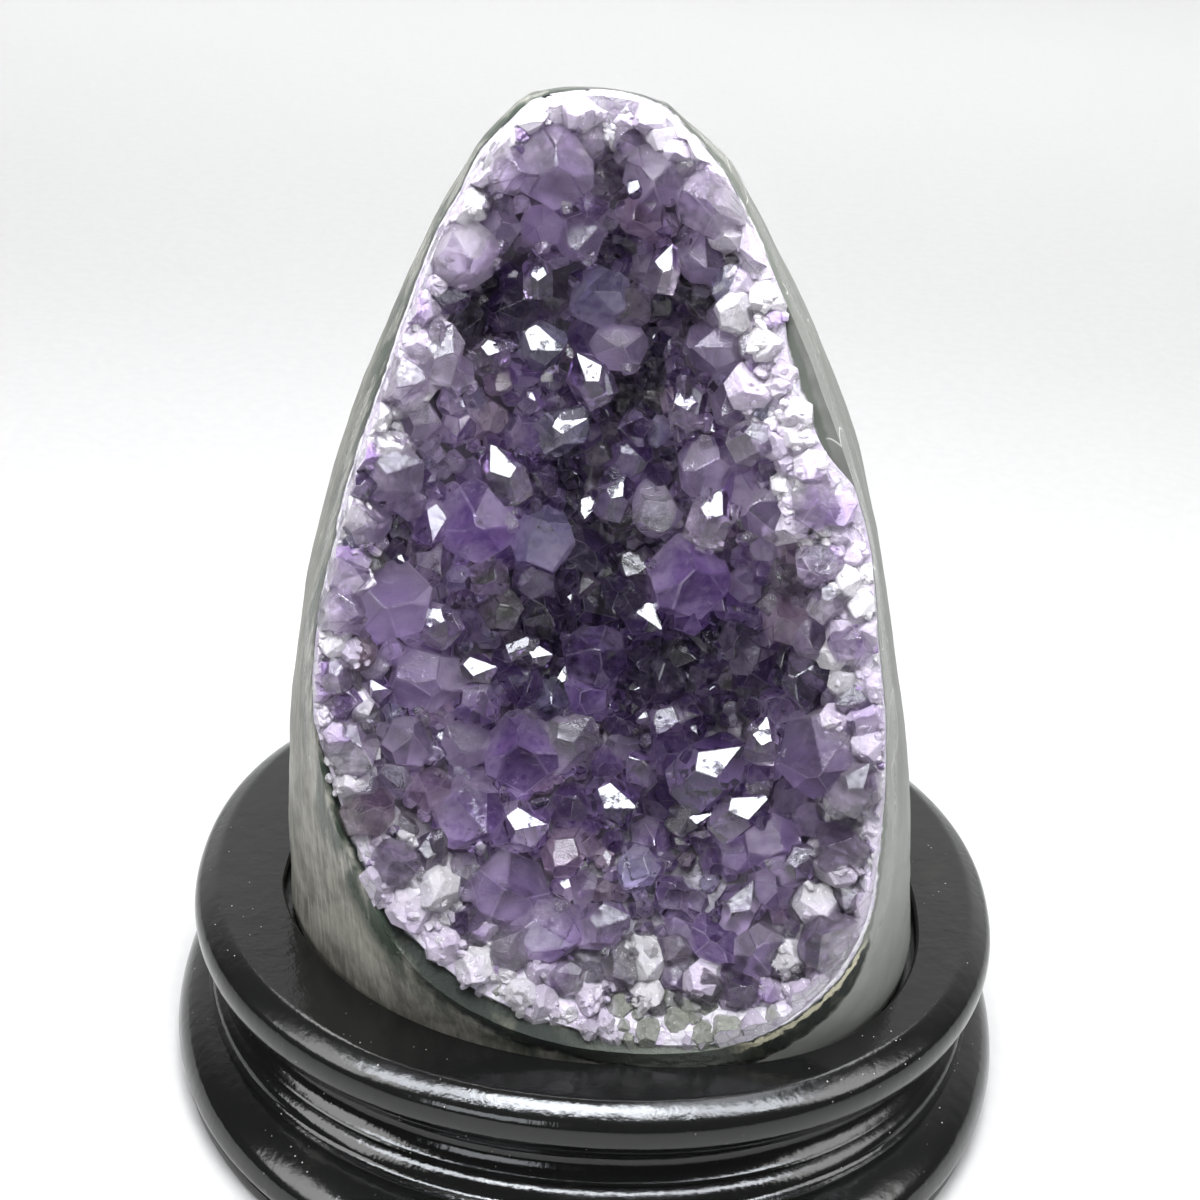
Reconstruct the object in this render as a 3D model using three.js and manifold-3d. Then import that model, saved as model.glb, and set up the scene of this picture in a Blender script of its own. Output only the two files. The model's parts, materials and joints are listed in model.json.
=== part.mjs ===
// Amethyst cluster: a piece of geode wall lined with quartz crystals, standing in the fitted pocket
// of a carved and lacquered wooden stand. Millimetres, +Z up. The front, where the hollow opens,
// faces -Y, and the origin is the middle of the stand's underside.

import * as THREE from "three";
import { mergeVertices } from "three/addons/utils/BufferGeometryUtils.js";
import Module from "manifold-3d";

const wasm = await Module();
wasm.setup();

// ---------------------------------------------------------------------------------------------
// Driving dimensions
// ---------------------------------------------------------------------------------------------

// Clearance between neighbouring solids.
const GAP = 0.35;

// Stand: height over all, and the oval that its mouldings follow (half axes and roundness).
const STAND_HEIGHT = 33;
const STAND_HALF_WIDTH = 64.5;
const STAND_HALF_DEPTH = 60;
const STAND_ROUNDNESS = 2.13;
const STAND_SEGMENTS = 40;

// The stand's top slab has a half-round edge, standing out from the oval by its radius.
const SLAB_EDGE_RADIUS = 5.5;

// The foot flares out more to the front and back than to the sides.
const FOOT_EXTRA_DEPTH = 6;

// Pocket for the stone: how deep it is, and the slack round the stone.
const POCKET_DEPTH = 4;
const POCKET_CLEARANCE = 1.1;

// Stone. Levels are heights above the stand's top. Each level gives the middle and the half width
// in X, the Y of the widest line, and how far the stone reaches forward and back of that line.
const STONE_LEVELS = [
  { z: -3.65, x: 1.2, halfWidth: 53.0, y: -12, front: 39.3, back: 50 },
  { z: 0, x: 1.1, halfWidth: 53.4, y: -12, front: 39.8, back: 51 },
  { z: 20, x: -0.5, halfWidth: 52.0, y: -10, front: 48, back: 52 },
  { z: 40, x: -2.1, halfWidth: 49.4, y: -7, front: 55, back: 51 },
  { z: 60, x: -3.3, halfWidth: 45.8, y: -3.5, front: 60, back: 48 },
  { z: 80, x: -3.4, halfWidth: 40.0, y: -0.5, front: 60, back: 42 },
  { z: 100, x: -4.9, halfWidth: 31.2, y: 3, front: 44, back: 33 },
  { z: 115, x: -6.2, halfWidth: 24.2, y: 5, front: 30, back: 24 },
  { z: 128, x: -7.6, halfWidth: 15.8, y: 6.5, front: 18, back: 15 },
  { z: 134.5, x: -8.8, halfWidth: 8.5, y: 7.5, front: 9, back: 8 },
];
const STONE_TOP = 137.2;
const STONE_SEGMENTS = 40;

// The stone's flanks are ground flatter on the left of the front than on the right.
const ROUNDNESS_FRONT_LEFT = 1.85;
const ROUNDNESS_FRONT_RIGHT = 2.35;
const ROUNDNESS_BACK = 2.2;

// The open face of the hollow leans back. It starts FACE_FRONT in front of the stand's middle.
const FACE_LEAN = THREE.MathUtils.degToRad(21.8);
const FACE_FRONT = 51.5;

// Rim of the hollow: distances from its middle every 15 degrees, from +X anticlockwise as seen
// from in front, in the plane of the open face.
const RIM_MIDDLE = new THREE.Vector2(-3, 66);
const RIM_RADII = [
  41.6, 40.7, 41.4, 43.6, 51.0, 65.0, 79.3, 75.2, 60.0, 49.1, 44.5, 41.4,
  41.0, 42.5, 45.5, 50.2, 55.7, 59.4, 62.0, 65.6, 67.6, 63.3, 51.9, 44.9,
];
const RIM_SEGMENTS = 32;

// Hollow: depth in the middle, and how steeply its wall meets the rim.
const HOLLOW_DEPTH = 21;
const HOLLOW_STEEPNESS = 2.6;
const RIM_BEVEL = 5;

// Quartz bed that the crystals grow from: its thickness, and how far it dips inside the rim.
const BED_THICKNESS = 4;
const BED_DROP = 1.4;

// The largest crystals: distance across the open face, distance up it, and radius.
const LARGE_CRYSTALS = [
  [-14, 134, 6.4], [-20, 133, 4.1], [-1, 136, 5.3], [7, 131, 5.1], [-26, 121, 5.8], [-10, 125, 4.1],
  [-1, 128, 3.9], [15, 117, 3.9], [10, 123, 4], [-6, 117, 5.1], [-2, 110, 4.8], [12, 111, 4.6],
  [18, 104, 5.1], [-23, 81, 6.9], [-13, 80, 5.6], [-35, 69, 6.7], [-39, 80, 4.1], [11, 74, 6.9],
  [11, 93, 5.1], [22, 86, 4.5], [29, 88, 4.1], [30, 78, 4.3], [-3, 62, 5.8], [26, 69, 4.3],
  [-31, 56, 5.4], [-14, 46, 6.8], [33, 51, 6.9], [-38, 46, 4.9], [-20, 35, 6], [-31, 46, 4.4],
  [-12, 25, 6.9], [-6, 17, 6], [-25, 24, 5.1], [6, 13, 5.9], [-32, 30, 4.3], [20, 18, 4.7],
  [27, 34, 5.1], [36, 36, 4.9], [36, 22, 5.5], [27, 15, 4.5],
];

// Large crystals that are turned so that one end face looks up and forwards.
const BRIGHT_CRYSTALS = [
  [-14, 109, 5.3], [-7, 104, 3.9], [-29, 108, 4.6], [4, 121, 3.7], [-33, 90, 5.5], [-19, 91, 4.8],
  [14, 84, 4.6], [21, 97, 4.6], [-29, 64, 3.8], [-11, 67, 3.4], [-4, 48, 4.8], [18, 46, 5.8], [2, 39, 4.4],
  [24, 42, 4.3], [-10, 34, 4.9], [3, 22, 4.4], [22, 27, 4.1], [33, 29, 3.8], [38, 50, 3.9],
];
const BRIGHT_FACING = new THREE.Vector3(0, 0.49, 0.87);

// The rest: how many places are tried, the radii, and the spacing as a share of the two radii.
const CRYSTAL_TRIES = 1500;
const CRYSTAL_RADIUS_MIN = 4.5;
const CRYSTAL_RADIUS_MAX = 6.2;
const CRYSTAL_SPACING = 0.7;
const CRYSTAL_SEED = 20;

// ---------------------------------------------------------------------------------------------
// Helpers
// ---------------------------------------------------------------------------------------------

// A small repeatable random number generator, giving numbers from 0 to 1.
function randomFrom(seed) {
  let state = seed;
  return () => {
    state = (state + 0x6d2b79f5) | 0;
    let t = Math.imul(state ^ (state >>> 15), 1 | state);
    t = (t + Math.imul(t ^ (t >>> 7), 61 | t)) ^ t;
    return ((t ^ (t >>> 14)) >>> 0) / 4294967296;
  };
}

// Turns a closed profile (radius, height) and moves each vertex by place(angle, radius, height).
function turned(profile, segments, place) {
  const geometry = new THREE.LatheGeometry(profile, segments);
  const position = geometry.getAttribute("position");
  const step = (2 * Math.PI) / segments;
  for (let i = 0; i < position.count; i += 1) {
    const segment = Math.floor(i / profile.length) % segments;
    const point = profile[i % profile.length];
    const moved = place(segment * step, point.x, point.y);
    position.setXYZ(i, moved.x, moved.y, moved.z);
  }
  return geometry;
}

// Makes a solid of a closed geometry, with its faces pointing out.
function solidOf(geometry) {
  const bare = geometry.clone();
  bare.deleteAttribute("normal");
  bare.deleteAttribute("uv");
  const merged = mergeVertices(bare, 1e-4);
  const vertices = merged.getAttribute("position").array;
  const corner = (i) => new THREE.Vector3().fromArray(vertices, 3 * i);
  const triangles = [];
  let volume = 0;
  for (let i = 0; i < merged.index.count; i += 3) {
    const [a, b, c] = [0, 1, 2].map((k) => merged.index.getX(i + k));
    if (a !== b && b !== c && c !== a) {
      triangles.push([a, b, c]);
      volume += corner(a).dot(corner(b).cross(corner(c)));
    }
  }
  const wound = triangles.flatMap(([a, b, c]) => (volume > 0 ? [a, b, c] : [a, c, b]));
  return new wasm.Manifold(new wasm.Mesh({
    numProp: 3,
    vertProperties: new Float32Array(vertices),
    triVerts: new Uint32Array(wound),
  }));
}

// The triangles of a solid's largest shell. Chips cut loose and pockets shut inside are left out.
function largestShell(triVerts, count) {
  const parent = Array.from({ length: count }, (_, i) => i);
  const root = (i) => {
    let at = i;
    while (parent[at] !== at) {
      parent[at] = parent[parent[at]];
      at = parent[at];
    }
    return at;
  };
  for (let i = 0; i < triVerts.length; i += 3) {
    parent[root(triVerts[i + 1])] = root(triVerts[i]);
    parent[root(triVerts[i + 2])] = root(triVerts[i]);
  }
  const sizes = new Map();
  triVerts.forEach((vertex) => sizes.set(root(vertex), (sizes.get(root(vertex)) ?? 0) + 1));
  const largest = [...sizes.entries()].sort((a, b) => b[1] - a[1])[0][0];
  return triVerts.filter((vertex) => root(vertex) === largest);
}

// Turns a solid back into a geometry for a mesh.
function geometryOf(solid) {
  const mesh = solid.getMesh();
  const shell = largestShell(mesh.triVerts, mesh.vertProperties.length / 3);
  const geometry = new THREE.BufferGeometry();
  geometry.setAttribute("position", new THREE.BufferAttribute(mesh.vertProperties, 3));
  geometry.setIndex(new THREE.BufferAttribute(shell, 1));
  geometry.computeVertexNormals();
  return geometry;
}

// Joins a list of solids two by two.
function joined(solids) {
  let list = solids;
  while (list.length > 1) {
    const next = [];
    for (let i = 0; i < list.length; i += 2) {
      next.push(i + 1 < list.length ? list[i].add(list[i + 1]) : list[i]);
    }
    list = next;
  }
  return list[0];
}

// A point of an oval between an ellipse and a rectangle.
function ovalPoint(angle, halfWidth, halfDepth, roundness) {
  const c = Math.cos(angle);
  const s = Math.sin(angle);
  return new THREE.Vector2(
    halfWidth * Math.sign(c) * Math.abs(c) ** (2 / roundness),
    halfDepth * Math.sign(s) * Math.abs(s) ** (2 / roundness),
  );
}

// ---------------------------------------------------------------------------------------------
// Stone: outer body
// ---------------------------------------------------------------------------------------------

const levelCurves = new THREE.CubicInterpolant(
  STONE_LEVELS.map((level) => level.z),
  STONE_LEVELS.flatMap((level) => [level.x, level.halfWidth, level.y, level.front, level.back]),
  5,
);

// A point of the stone's outline at a height above the stand's top, grown by some clearance.
function stonePoint(angle, z, share = 1, clearance = 0) {
  const [x, halfWidth, y, front, back] = levelCurves.evaluate(z);
  const ahead = Math.sin(angle) < 0;
  const left = Math.cos(angle) < 0;
  const frontRoundness = left ? ROUNDNESS_FRONT_LEFT : ROUNDNESS_FRONT_RIGHT;
  const roundness = ahead ? frontRoundness : ROUNDNESS_BACK;
  const reach = ahead ? front : back;
  const wave = 0.5 * Math.sin(3 * angle + z / 17) + 0.4 * Math.sin(5 * angle - z / 11);
  const uneven = share * wave * Math.min(1, halfWidth / 30);
  const grown = uneven + clearance;
  const oval = ovalPoint(angle, share * halfWidth + grown, share * reach + grown, roundness);
  return new THREE.Vector3(x + oval.x, y + oval.y, z);
}

function stoneBody() {
  const heights = [-3.65, 0, 14, 28, 42, 56, 70, 84, 96, 107, 117, 126, 134.5];
  const last = heights[heights.length - 1];
  const profile = [new THREE.Vector2(0, heights[0])];
  heights.forEach((z) => profile.push(new THREE.Vector2(1, z)));
  profile.push(new THREE.Vector2(0.55, STONE_TOP - 0.8));
  profile.push(new THREE.Vector2(0, STONE_TOP));
  return solidOf(turned(profile, STONE_SEGMENTS, (angle, share, z) => {
    const point = stonePoint(angle, Math.min(z, last), share);
    return point.setZ(z);
  }));
}

// ---------------------------------------------------------------------------------------------
// Hollow
// ---------------------------------------------------------------------------------------------

const along = new THREE.Vector3(0, Math.sin(FACE_LEAN), Math.cos(FACE_LEAN));
const outward = new THREE.Vector3(0, -Math.cos(FACE_LEAN), Math.sin(FACE_LEAN));

const rimCurve = new THREE.CubicInterpolant(
  Array.from({ length: 31 }, (_, i) => THREE.MathUtils.degToRad(15 * (i - 3))),
  Array.from({ length: 31 }, (_, i) => RIM_RADII[(i + 21) % 24]),
  1,
);

// Distance from the hollow's middle to its rim in one direction.
function rimRadius(angle) {
  const turn = 2 * Math.PI;
  return rimCurve.evaluate(((angle % turn) + turn) % turn)[0];
}

// From the open face's own coordinates (across, up its slope, out of it) to the stone's.
function facePoint(u, w, h) {
  return new THREE.Vector3(u, -FACE_FRONT, 0).addScaledVector(along, w).addScaledVector(outward, h);
}

// Height of the hollow's wall below the open face, at a share of the way to the rim.
function wallHeight(share, depth) {
  return -depth * (1 - Math.min(1, share) ** HOLLOW_STEEPNESS);
}

// Everything in front of the hollow's wall, kept clear of it by an inset. From the rim the space
// opens outwards by the bevel, and then by the flare over its whole height.
function hollowSpace(inset, bevel, flare) {
  const shares = [0, 0.35, 0.62, 0.82, 0.93, 1];
  const height = 60;
  const profile = shares.map((share) => (
    new THREE.Vector2(share, wallHeight(share, HOLLOW_DEPTH) + inset)
  ));
  profile.push(new THREE.Vector2(1 + bevel, RIM_BEVEL + inset));
  profile.push(new THREE.Vector2(1 + bevel + flare, height));
  profile.push(new THREE.Vector2(0, height));
  return solidOf(turned(profile, RIM_SEGMENTS, (angle, share, h) => {
    const rim = rimRadius(angle) - inset;
    const radius = share <= 1 ? share * rim : rim + share - 1;
    return facePoint(
      RIM_MIDDLE.x + radius * Math.cos(angle),
      RIM_MIDDLE.y + radius * Math.sin(angle),
      h,
    );
  }));
}

// Height of the quartz bed's surface below the open face, at a share of the way to the rim.
function bedSurface(share) {
  return wallHeight(share / 0.93, HOLLOW_DEPTH - BED_THICKNESS) - BED_DROP * (1 - share ** 8);
}

// The quartz layer that lines the hollow.
function quartzBed() {
  const shares = [0, 0.5, 0.8, 1];
  const inner = shares.map((share) => new THREE.Vector2(0.97 * share, bedSurface(0.97 * share)));
  const profile = shares.map((share) => new THREE.Vector2(share, wallHeight(share, HOLLOW_DEPTH) - 2));
  profile.push(new THREE.Vector2(1.0, 0.4), ...inner.reverse());
  return solidOf(turned(profile, RIM_SEGMENTS, (angle, share, h) => {
    const radius = share * (rimRadius(angle) + 1);
    return facePoint(
      RIM_MIDDLE.x + radius * Math.cos(angle),
      RIM_MIDDLE.y + radius * Math.sin(angle),
      h,
    );
  }));
}

// ---------------------------------------------------------------------------------------------
// Crystals
// ---------------------------------------------------------------------------------------------

// Share of the way from the hollow's middle to its rim at a place on the open face.
function rimShare(u, w) {
  const du = u - RIM_MIDDLE.x;
  const dw = w - RIM_MIDDLE.y;
  return Math.hypot(du, dw) / rimRadius(Math.atan2(dw, du));
}

// Height of the bed's surface below the open face, at a place on it.
function bedHeight(u, w) {
  return bedSurface(rimShare(u, w));
}

// The way the bed faces at a place, in the open face's own coordinates.
function bedNormal(u, w) {
  const step = 1.5;
  const slopeU = (bedHeight(u + step, w) - bedHeight(u - step, w)) / (2 * step);
  const slopeW = (bedHeight(u, w + step) - bedHeight(u, w - step)) / (2 * step);
  return new THREE.Vector3(-slopeU, -slopeW, 1).normalize();
}

// The turn that stands a crystal up along a direction. A bright crystal instead keeps its first end
// face square to BRIGHT_FACING, and leans as near to the direction as that allows.
function crystalTurn(endFace, direction, spin, bright) {
  const up = new THREE.Vector3(0, 0, 1);
  if (!bright) {
    const twist = new THREE.Quaternion().setFromAxisAngle(up, spin);
    return new THREE.Quaternion().setFromUnitVectors(up, direction).multiply(twist);
  }
  const facing = BRIGHT_FACING.clone().normalize();
  const turn = new THREE.Quaternion().setFromUnitVectors(endFace, facing);
  const from = up.clone().applyQuaternion(turn).projectOnPlane(facing).normalize();
  const to = direction.clone().projectOnPlane(facing).normalize();
  const sense = Math.sign(from.clone().cross(to).dot(facing));
  return new THREE.Quaternion().setFromAxisAngle(facing, sense * from.angleTo(to)).multiply(turn);
}

// One six-sided crystal: a root in the bed, a short prism and a pointed end. Three of its end
// faces are larger than the other three, and its point is a little off the axis.
function crystal({ u, w, radius, prism, point, direction, spin, skew, bright }) {
  const corner = (index, height, r) => {
    const odd = index % 2 === 1;
    const drop = height === prism ? 0.16 * radius * (odd ? -1 : 1) : 0;
    const across = r * (odd ? 0.93 : 1.06);
    const angle = index * (Math.PI / 3);
    return new THREE.Vector3(across * Math.cos(angle), across * Math.sin(angle), height + drop);
  };
  const tip = new THREE.Vector3(radius * skew.x, radius * skew.y, prism + point);
  const profile = [
    new THREE.Vector2(0, 0),
    new THREE.Vector2(0.88 * radius, 0),
    new THREE.Vector2(radius, prism),
    new THREE.Vector2(0, prism + point),
  ];
  const geometry = turned(profile, 6, (angle, r, height) => {
    const index = Math.round(angle / (Math.PI / 3)) % 6;
    return height > prism ? tip : corner(index, height, r);
  });
  const first = corner(0, prism, radius);
  const endFace = corner(1, prism, radius).sub(first).cross(tip.clone().sub(first)).normalize();
  geometry.applyQuaternion(crystalTurn(endFace, direction, spin, bright));
  geometry.translate(u, w, bedHeight(u, w) - 1.2);
  const position = geometry.getAttribute("position");
  for (let i = 0; i < position.count; i += 1) {
    const placed = facePoint(position.getX(i), position.getY(i), position.getZ(i));
    position.setXYZ(i, placed.x, placed.y, placed.z);
  }
  return solidOf(geometry);
}

// The large crystals, and smaller ones spread between them, each a little turned from the way the
// bed faces.
function crystals() {
  const random = randomFrom(CRYSTAL_SEED);
  const between = (low, high) => low + (high - low) * random();
  const shape = (u, w, radius, bright) => {
    const loose = bright ? 0.1 : 0.4;
    const shorter = 1 - 0.45 * rimShare(u, w) ** 6;
    const tilt = new THREE.Vector3(between(-loose, loose), between(-loose, loose), 0.5);
    return {
      u,
      w,
      radius,
      prism: shorter * radius * between(0.55, 1.05) + 1.6,
      point: radius * between(0.9, 1.15),
      direction: bedNormal(u, w).multiplyScalar(0.75).add(tilt).normalize(),
      spin: between(0, Math.PI / 3),
      skew: new THREE.Vector2(between(-0.2, 0.2), between(-0.2, 0.2)),
      bright,
    };
  };
  const placed = [
    ...LARGE_CRYSTALS.map(([u, w, radius]) => shape(u, w, radius, false)),
    ...BRIGHT_CRYSTALS.map(([u, w, radius]) => shape(u, w, radius, true)),
  ];
  for (let i = 0; i < CRYSTAL_TRIES; i += 1) {
    const angle = between(0, 2 * Math.PI);
    const reach = Math.sqrt(random()) * rimRadius(angle) * 0.98;
    const u = RIM_MIDDLE.x + reach * Math.cos(angle);
    const w = RIM_MIDDLE.y + reach * Math.sin(angle);
    const radius = between(CRYSTAL_RADIUS_MIN, CRYSTAL_RADIUS_MAX);
    const free = placed.every((other) => (
      Math.hypot(other.u - u, other.w - w) > CRYSTAL_SPACING * (other.radius + radius)
    ));
    if (free) {
      placed.push(shape(u, w, radius, false));
    }
  }
  return placed.map(crystal);
}

// ---------------------------------------------------------------------------------------------
// Stand
// ---------------------------------------------------------------------------------------------

// Half section of the stand from the middle of its underside to the middle of its top. The X of
// each point is measured from the oval outwards, and the Y from the stand's top downwards.
function standProfile() {
  const path = new THREE.Path();
  path.moveTo(5.6, -STAND_HEIGHT);
  path.quadraticCurveTo(8.0, -32.2, 7.2, -30.3);
  path.lineTo(6.3, -29.7);
  path.quadraticCurveTo(10.4, -26.6, 5.6, -23.4);
  path.quadraticCurveTo(0.2, -22.0, -0.9, -20.2);
  path.quadraticCurveTo(0.6, -19.4, -0.9, -18.5);
  path.lineTo(-2.9, -17.4);
  path.quadraticCurveTo(-0.9, -16.4, -2.7, -15.3);
  path.quadraticCurveTo(-4.4, -13.2, -2.6, -11.3);
  path.lineTo(0, -2 * SLAB_EDGE_RADIUS);
  path.absarc(0, -SLAB_EDGE_RADIUS, SLAB_EDGE_RADIUS, -Math.PI / 2, Math.PI / 2, false);
  return path.getPoints(2);
}

function standBody() {
  const oval = (angle) => ovalPoint(angle, STAND_HALF_WIDTH, STAND_HALF_DEPTH, STAND_ROUNDNESS);
  const section = standProfile();
  const profile = [
    new THREE.Vector2(0, -STAND_HEIGHT),
    ...section.map((point) => new THREE.Vector2(STAND_HALF_WIDTH + point.x, point.y)),
    new THREE.Vector2(0, 0),
  ];
  return solidOf(turned(profile, STAND_SEGMENTS, (angle, radius, z) => {
    if (radius === 0) {
      return new THREE.Vector3(0, 0, z);
    }
    const ahead = oval(angle + 1e-3).sub(oval(angle - 1e-3)).normalize();
    const edge = oval(angle).addScaledVector(new THREE.Vector2(ahead.y, -ahead.x), radius - STAND_HALF_WIDTH);
    const flare = THREE.MathUtils.smoothstep(-z, 17, 25) * FOOT_EXTRA_DEPTH;
    return new THREE.Vector3(edge.x, edge.y * (1 + flare / STAND_HALF_DEPTH), z);
  }));
}

// The pocket follows the stone's outline, with some slack.
function pocket() {
  const profile = [
    new THREE.Vector2(0, -POCKET_DEPTH),
    new THREE.Vector2(1, -POCKET_DEPTH),
    new THREE.Vector2(1, 5),
    new THREE.Vector2(0, 5),
  ];
  return solidOf(turned(profile, STONE_SEGMENTS, (angle, share, z) => {
    const [x, , y] = levelCurves.evaluate(0);
    const edge = stonePoint(angle, 0, 1, POCKET_CLEARANCE);
    return share === 0 ? new THREE.Vector3(x, y, z) : edge.setZ(z);
  }));
}

// ---------------------------------------------------------------------------------------------
// Assembly
// ---------------------------------------------------------------------------------------------

const aboveStand = solidOf(new THREE.BoxGeometry(300, 300, 300).translate(0, 0, 150.7));

const stand = new THREE.Mesh(
  geometryOf(standBody().subtract(pocket())),
  new THREE.MeshStandardMaterial({ color: 0x0b0a0a, roughness: 0.12, metalness: 0 }),
);
stand.name = "stand";

const rock = new THREE.Mesh(
  geometryOf(stoneBody().subtract(hollowSpace(0, RIM_BEVEL, 70))),
  new THREE.MeshStandardMaterial({ color: 0x6f6d66, roughness: 0.35, metalness: 0 }),
);
rock.name = "rock_matrix";

const liningSpace = hollowSpace(GAP, 0.8, 0).intersect(aboveStand);
const lining = joined([quartzBed(), ...crystals()]).intersect(liningSpace);
const druse = new THREE.Mesh(
  geometryOf(lining),
  new THREE.MeshStandardMaterial({ color: 0x7a62a8, roughness: 0.08, metalness: 0 }),
);
druse.name = "crystal_druse";

const stone = new THREE.Group();
stone.add(rock, druse);

const cluster = new THREE.Group();
cluster.position.z = STAND_HEIGHT;
cluster.add(stand, stone);

export default cluster;
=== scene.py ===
"""Amethyst cluster on a lacquered wooden stand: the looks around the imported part.

The stone stands in the pocket of its stand and nothing moves, so every piece rides on the one body.
Sizes are in millimetres and are turned into metres where a mesh is made. The origin is the middle
of the stand's underside, Z is up, and the open face of the hollow looks towards -Y.
"""

import json
import logging
from dataclasses import dataclass, field
from enum import Enum
from functools import partial
from math import atan2, copysign, cos, degrees, hypot, pi, radians, sin, sqrt, tan
from random import Random

import bpy
from bpy.types import Collection, Material, Mesh, Node, NodeSocket, NodeTree, Object
from mathutils import Matrix, Quaternion, Vector
from mathutils.bvhtree import BVHTree
from mathutils.noise import noise

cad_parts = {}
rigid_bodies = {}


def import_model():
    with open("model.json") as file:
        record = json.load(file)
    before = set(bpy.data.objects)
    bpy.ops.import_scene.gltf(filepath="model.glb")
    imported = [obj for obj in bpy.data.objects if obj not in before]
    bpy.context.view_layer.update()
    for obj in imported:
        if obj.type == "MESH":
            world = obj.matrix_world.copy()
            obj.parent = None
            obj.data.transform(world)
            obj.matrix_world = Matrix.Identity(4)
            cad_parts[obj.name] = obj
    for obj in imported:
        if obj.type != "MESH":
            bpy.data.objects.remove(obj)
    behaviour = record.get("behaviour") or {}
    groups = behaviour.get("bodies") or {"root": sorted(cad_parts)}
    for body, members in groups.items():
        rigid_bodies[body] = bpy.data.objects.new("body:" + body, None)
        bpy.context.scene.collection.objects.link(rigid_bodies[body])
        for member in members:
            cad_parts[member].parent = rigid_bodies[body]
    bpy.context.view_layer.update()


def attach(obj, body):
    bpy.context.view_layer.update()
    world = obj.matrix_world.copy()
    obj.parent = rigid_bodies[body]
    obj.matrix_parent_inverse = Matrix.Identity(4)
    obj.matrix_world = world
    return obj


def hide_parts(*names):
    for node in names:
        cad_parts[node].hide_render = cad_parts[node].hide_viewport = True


LOG = logging.getLogger("amethyst_cluster")
MM = 0.001
BODY = "root"
STAND_HEIGHT = 33.0
QUARTZ_IOR = 1.544
COOL_LIGHT = (0.90, 0.94, 1.0)

Triple = tuple[float, float, float]


# --- Small tools ---


def smoothstep(value: float, low: float, high: float) -> float:
    """Eased share, from 0 to 1, of the way of a value from low to high."""
    share = min(1.0, max(0.0, (value - low) / (high - low)))
    return share * share * (3.0 - 2.0 * share)


def oval_point(angle: float, half_x: float, half_y: float, roundness: float) -> tuple[float, float]:
    """A point of an oval between an ellipse and a rectangle.

    Args:
        angle: Direction in radians, anticlockwise from +X.
        half_x: Half the width.
        half_y: Half the depth.
        roundness: 2 for an ellipse, more for squarer corners.

    Returns:
        The point's X and Y.
    """
    c, s = cos(angle), sin(angle)
    return (
        half_x * copysign(abs(c) ** (2 / roundness), c),
        half_y * copysign(abs(s) ** (2 / roundness), s),
    )


def turns(count: int) -> list[float]:
    """Directions spread evenly round a circle, in radians from 0."""
    return [2 * pi * i / count for i in range(count)]


def deselect_all() -> None:
    """Leaves nothing selected, in object mode."""
    if bpy.context.object is not None and bpy.context.object.mode != "OBJECT":
        bpy.ops.object.mode_set(mode="OBJECT")
    bpy.ops.object.select_all(action="DESELECT")


def make_active(piece: Object) -> None:
    """Selects one object alone and makes it the active one.

    Args:
        piece: The object to work on.
    """
    deselect_all()
    piece.select_set(True)
    bpy.context.view_layer.objects.active = piece


def apply_boolean(piece: Object, operation: str, tool: Object | Collection) -> None:
    """Joins, cuts or trims a piece with another object or a whole group, and removes the tools.

    Args:
        piece: The object to change.
        operation: UNION, DIFFERENCE or INTERSECT.
        tool: The object or the group to work with.
    """
    make_active(piece)
    step = piece.modifiers.new("boolean", "BOOLEAN")
    step.operation = operation
    step.solver = "MANIFOLD"
    grouped = isinstance(tool, Collection)
    if grouped:
        step.operand_type = "COLLECTION"
        step.collection = tool
    else:
        step.object = tool
    bpy.ops.object.modifier_apply(modifier=step.name)
    for item in list(tool.objects) if grouped else [tool]:
        mesh = item.data
        bpy.data.objects.remove(item)
        bpy.data.meshes.remove(mesh)
    if grouped:
        bpy.data.collections.remove(tool)


def loft(name: str, rings: list[list[tuple]], joined: bool = False) -> Object:
    """Makes a closed solid through rings of points.

    Args:
        name: The new object's name.
        rings: Rings with the same number of points each, in millimetres.
        joined: Whether the last ring joins the first, instead of each having a flat cap.

    Returns:
        The new object, with its faces pointing outwards.
    """
    count, levels = len(rings[0]), len(rings)
    mesh = bpy.data.meshes.new(name)
    faces = []
    for level in range(levels if joined else levels - 1):
        low, high = level * count, ((level + 1) % levels) * count
        for i in range(count):
            j = (i + 1) % count
            faces.append((low + i, low + j, high + j, high + i))
    if not joined:
        faces.append(tuple(range(count)))
        faces.append(tuple(range((levels - 1) * count, levels * count)))
    points = [tuple(MM * c for c in point) for ring in rings for point in ring]
    mesh.from_pydata(points, [], faces)
    piece = bpy.data.objects.new(name, mesh)
    bpy.context.scene.collection.objects.link(piece)
    make_active(piece)
    bpy.ops.object.mode_set(mode="EDIT")
    bpy.ops.mesh.select_all(action="SELECT")
    bpy.ops.mesh.remove_doubles(threshold=1e-6)
    bpy.ops.mesh.normals_make_consistent(inside=False)
    bpy.ops.object.mode_set(mode="OBJECT")
    return piece


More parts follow.
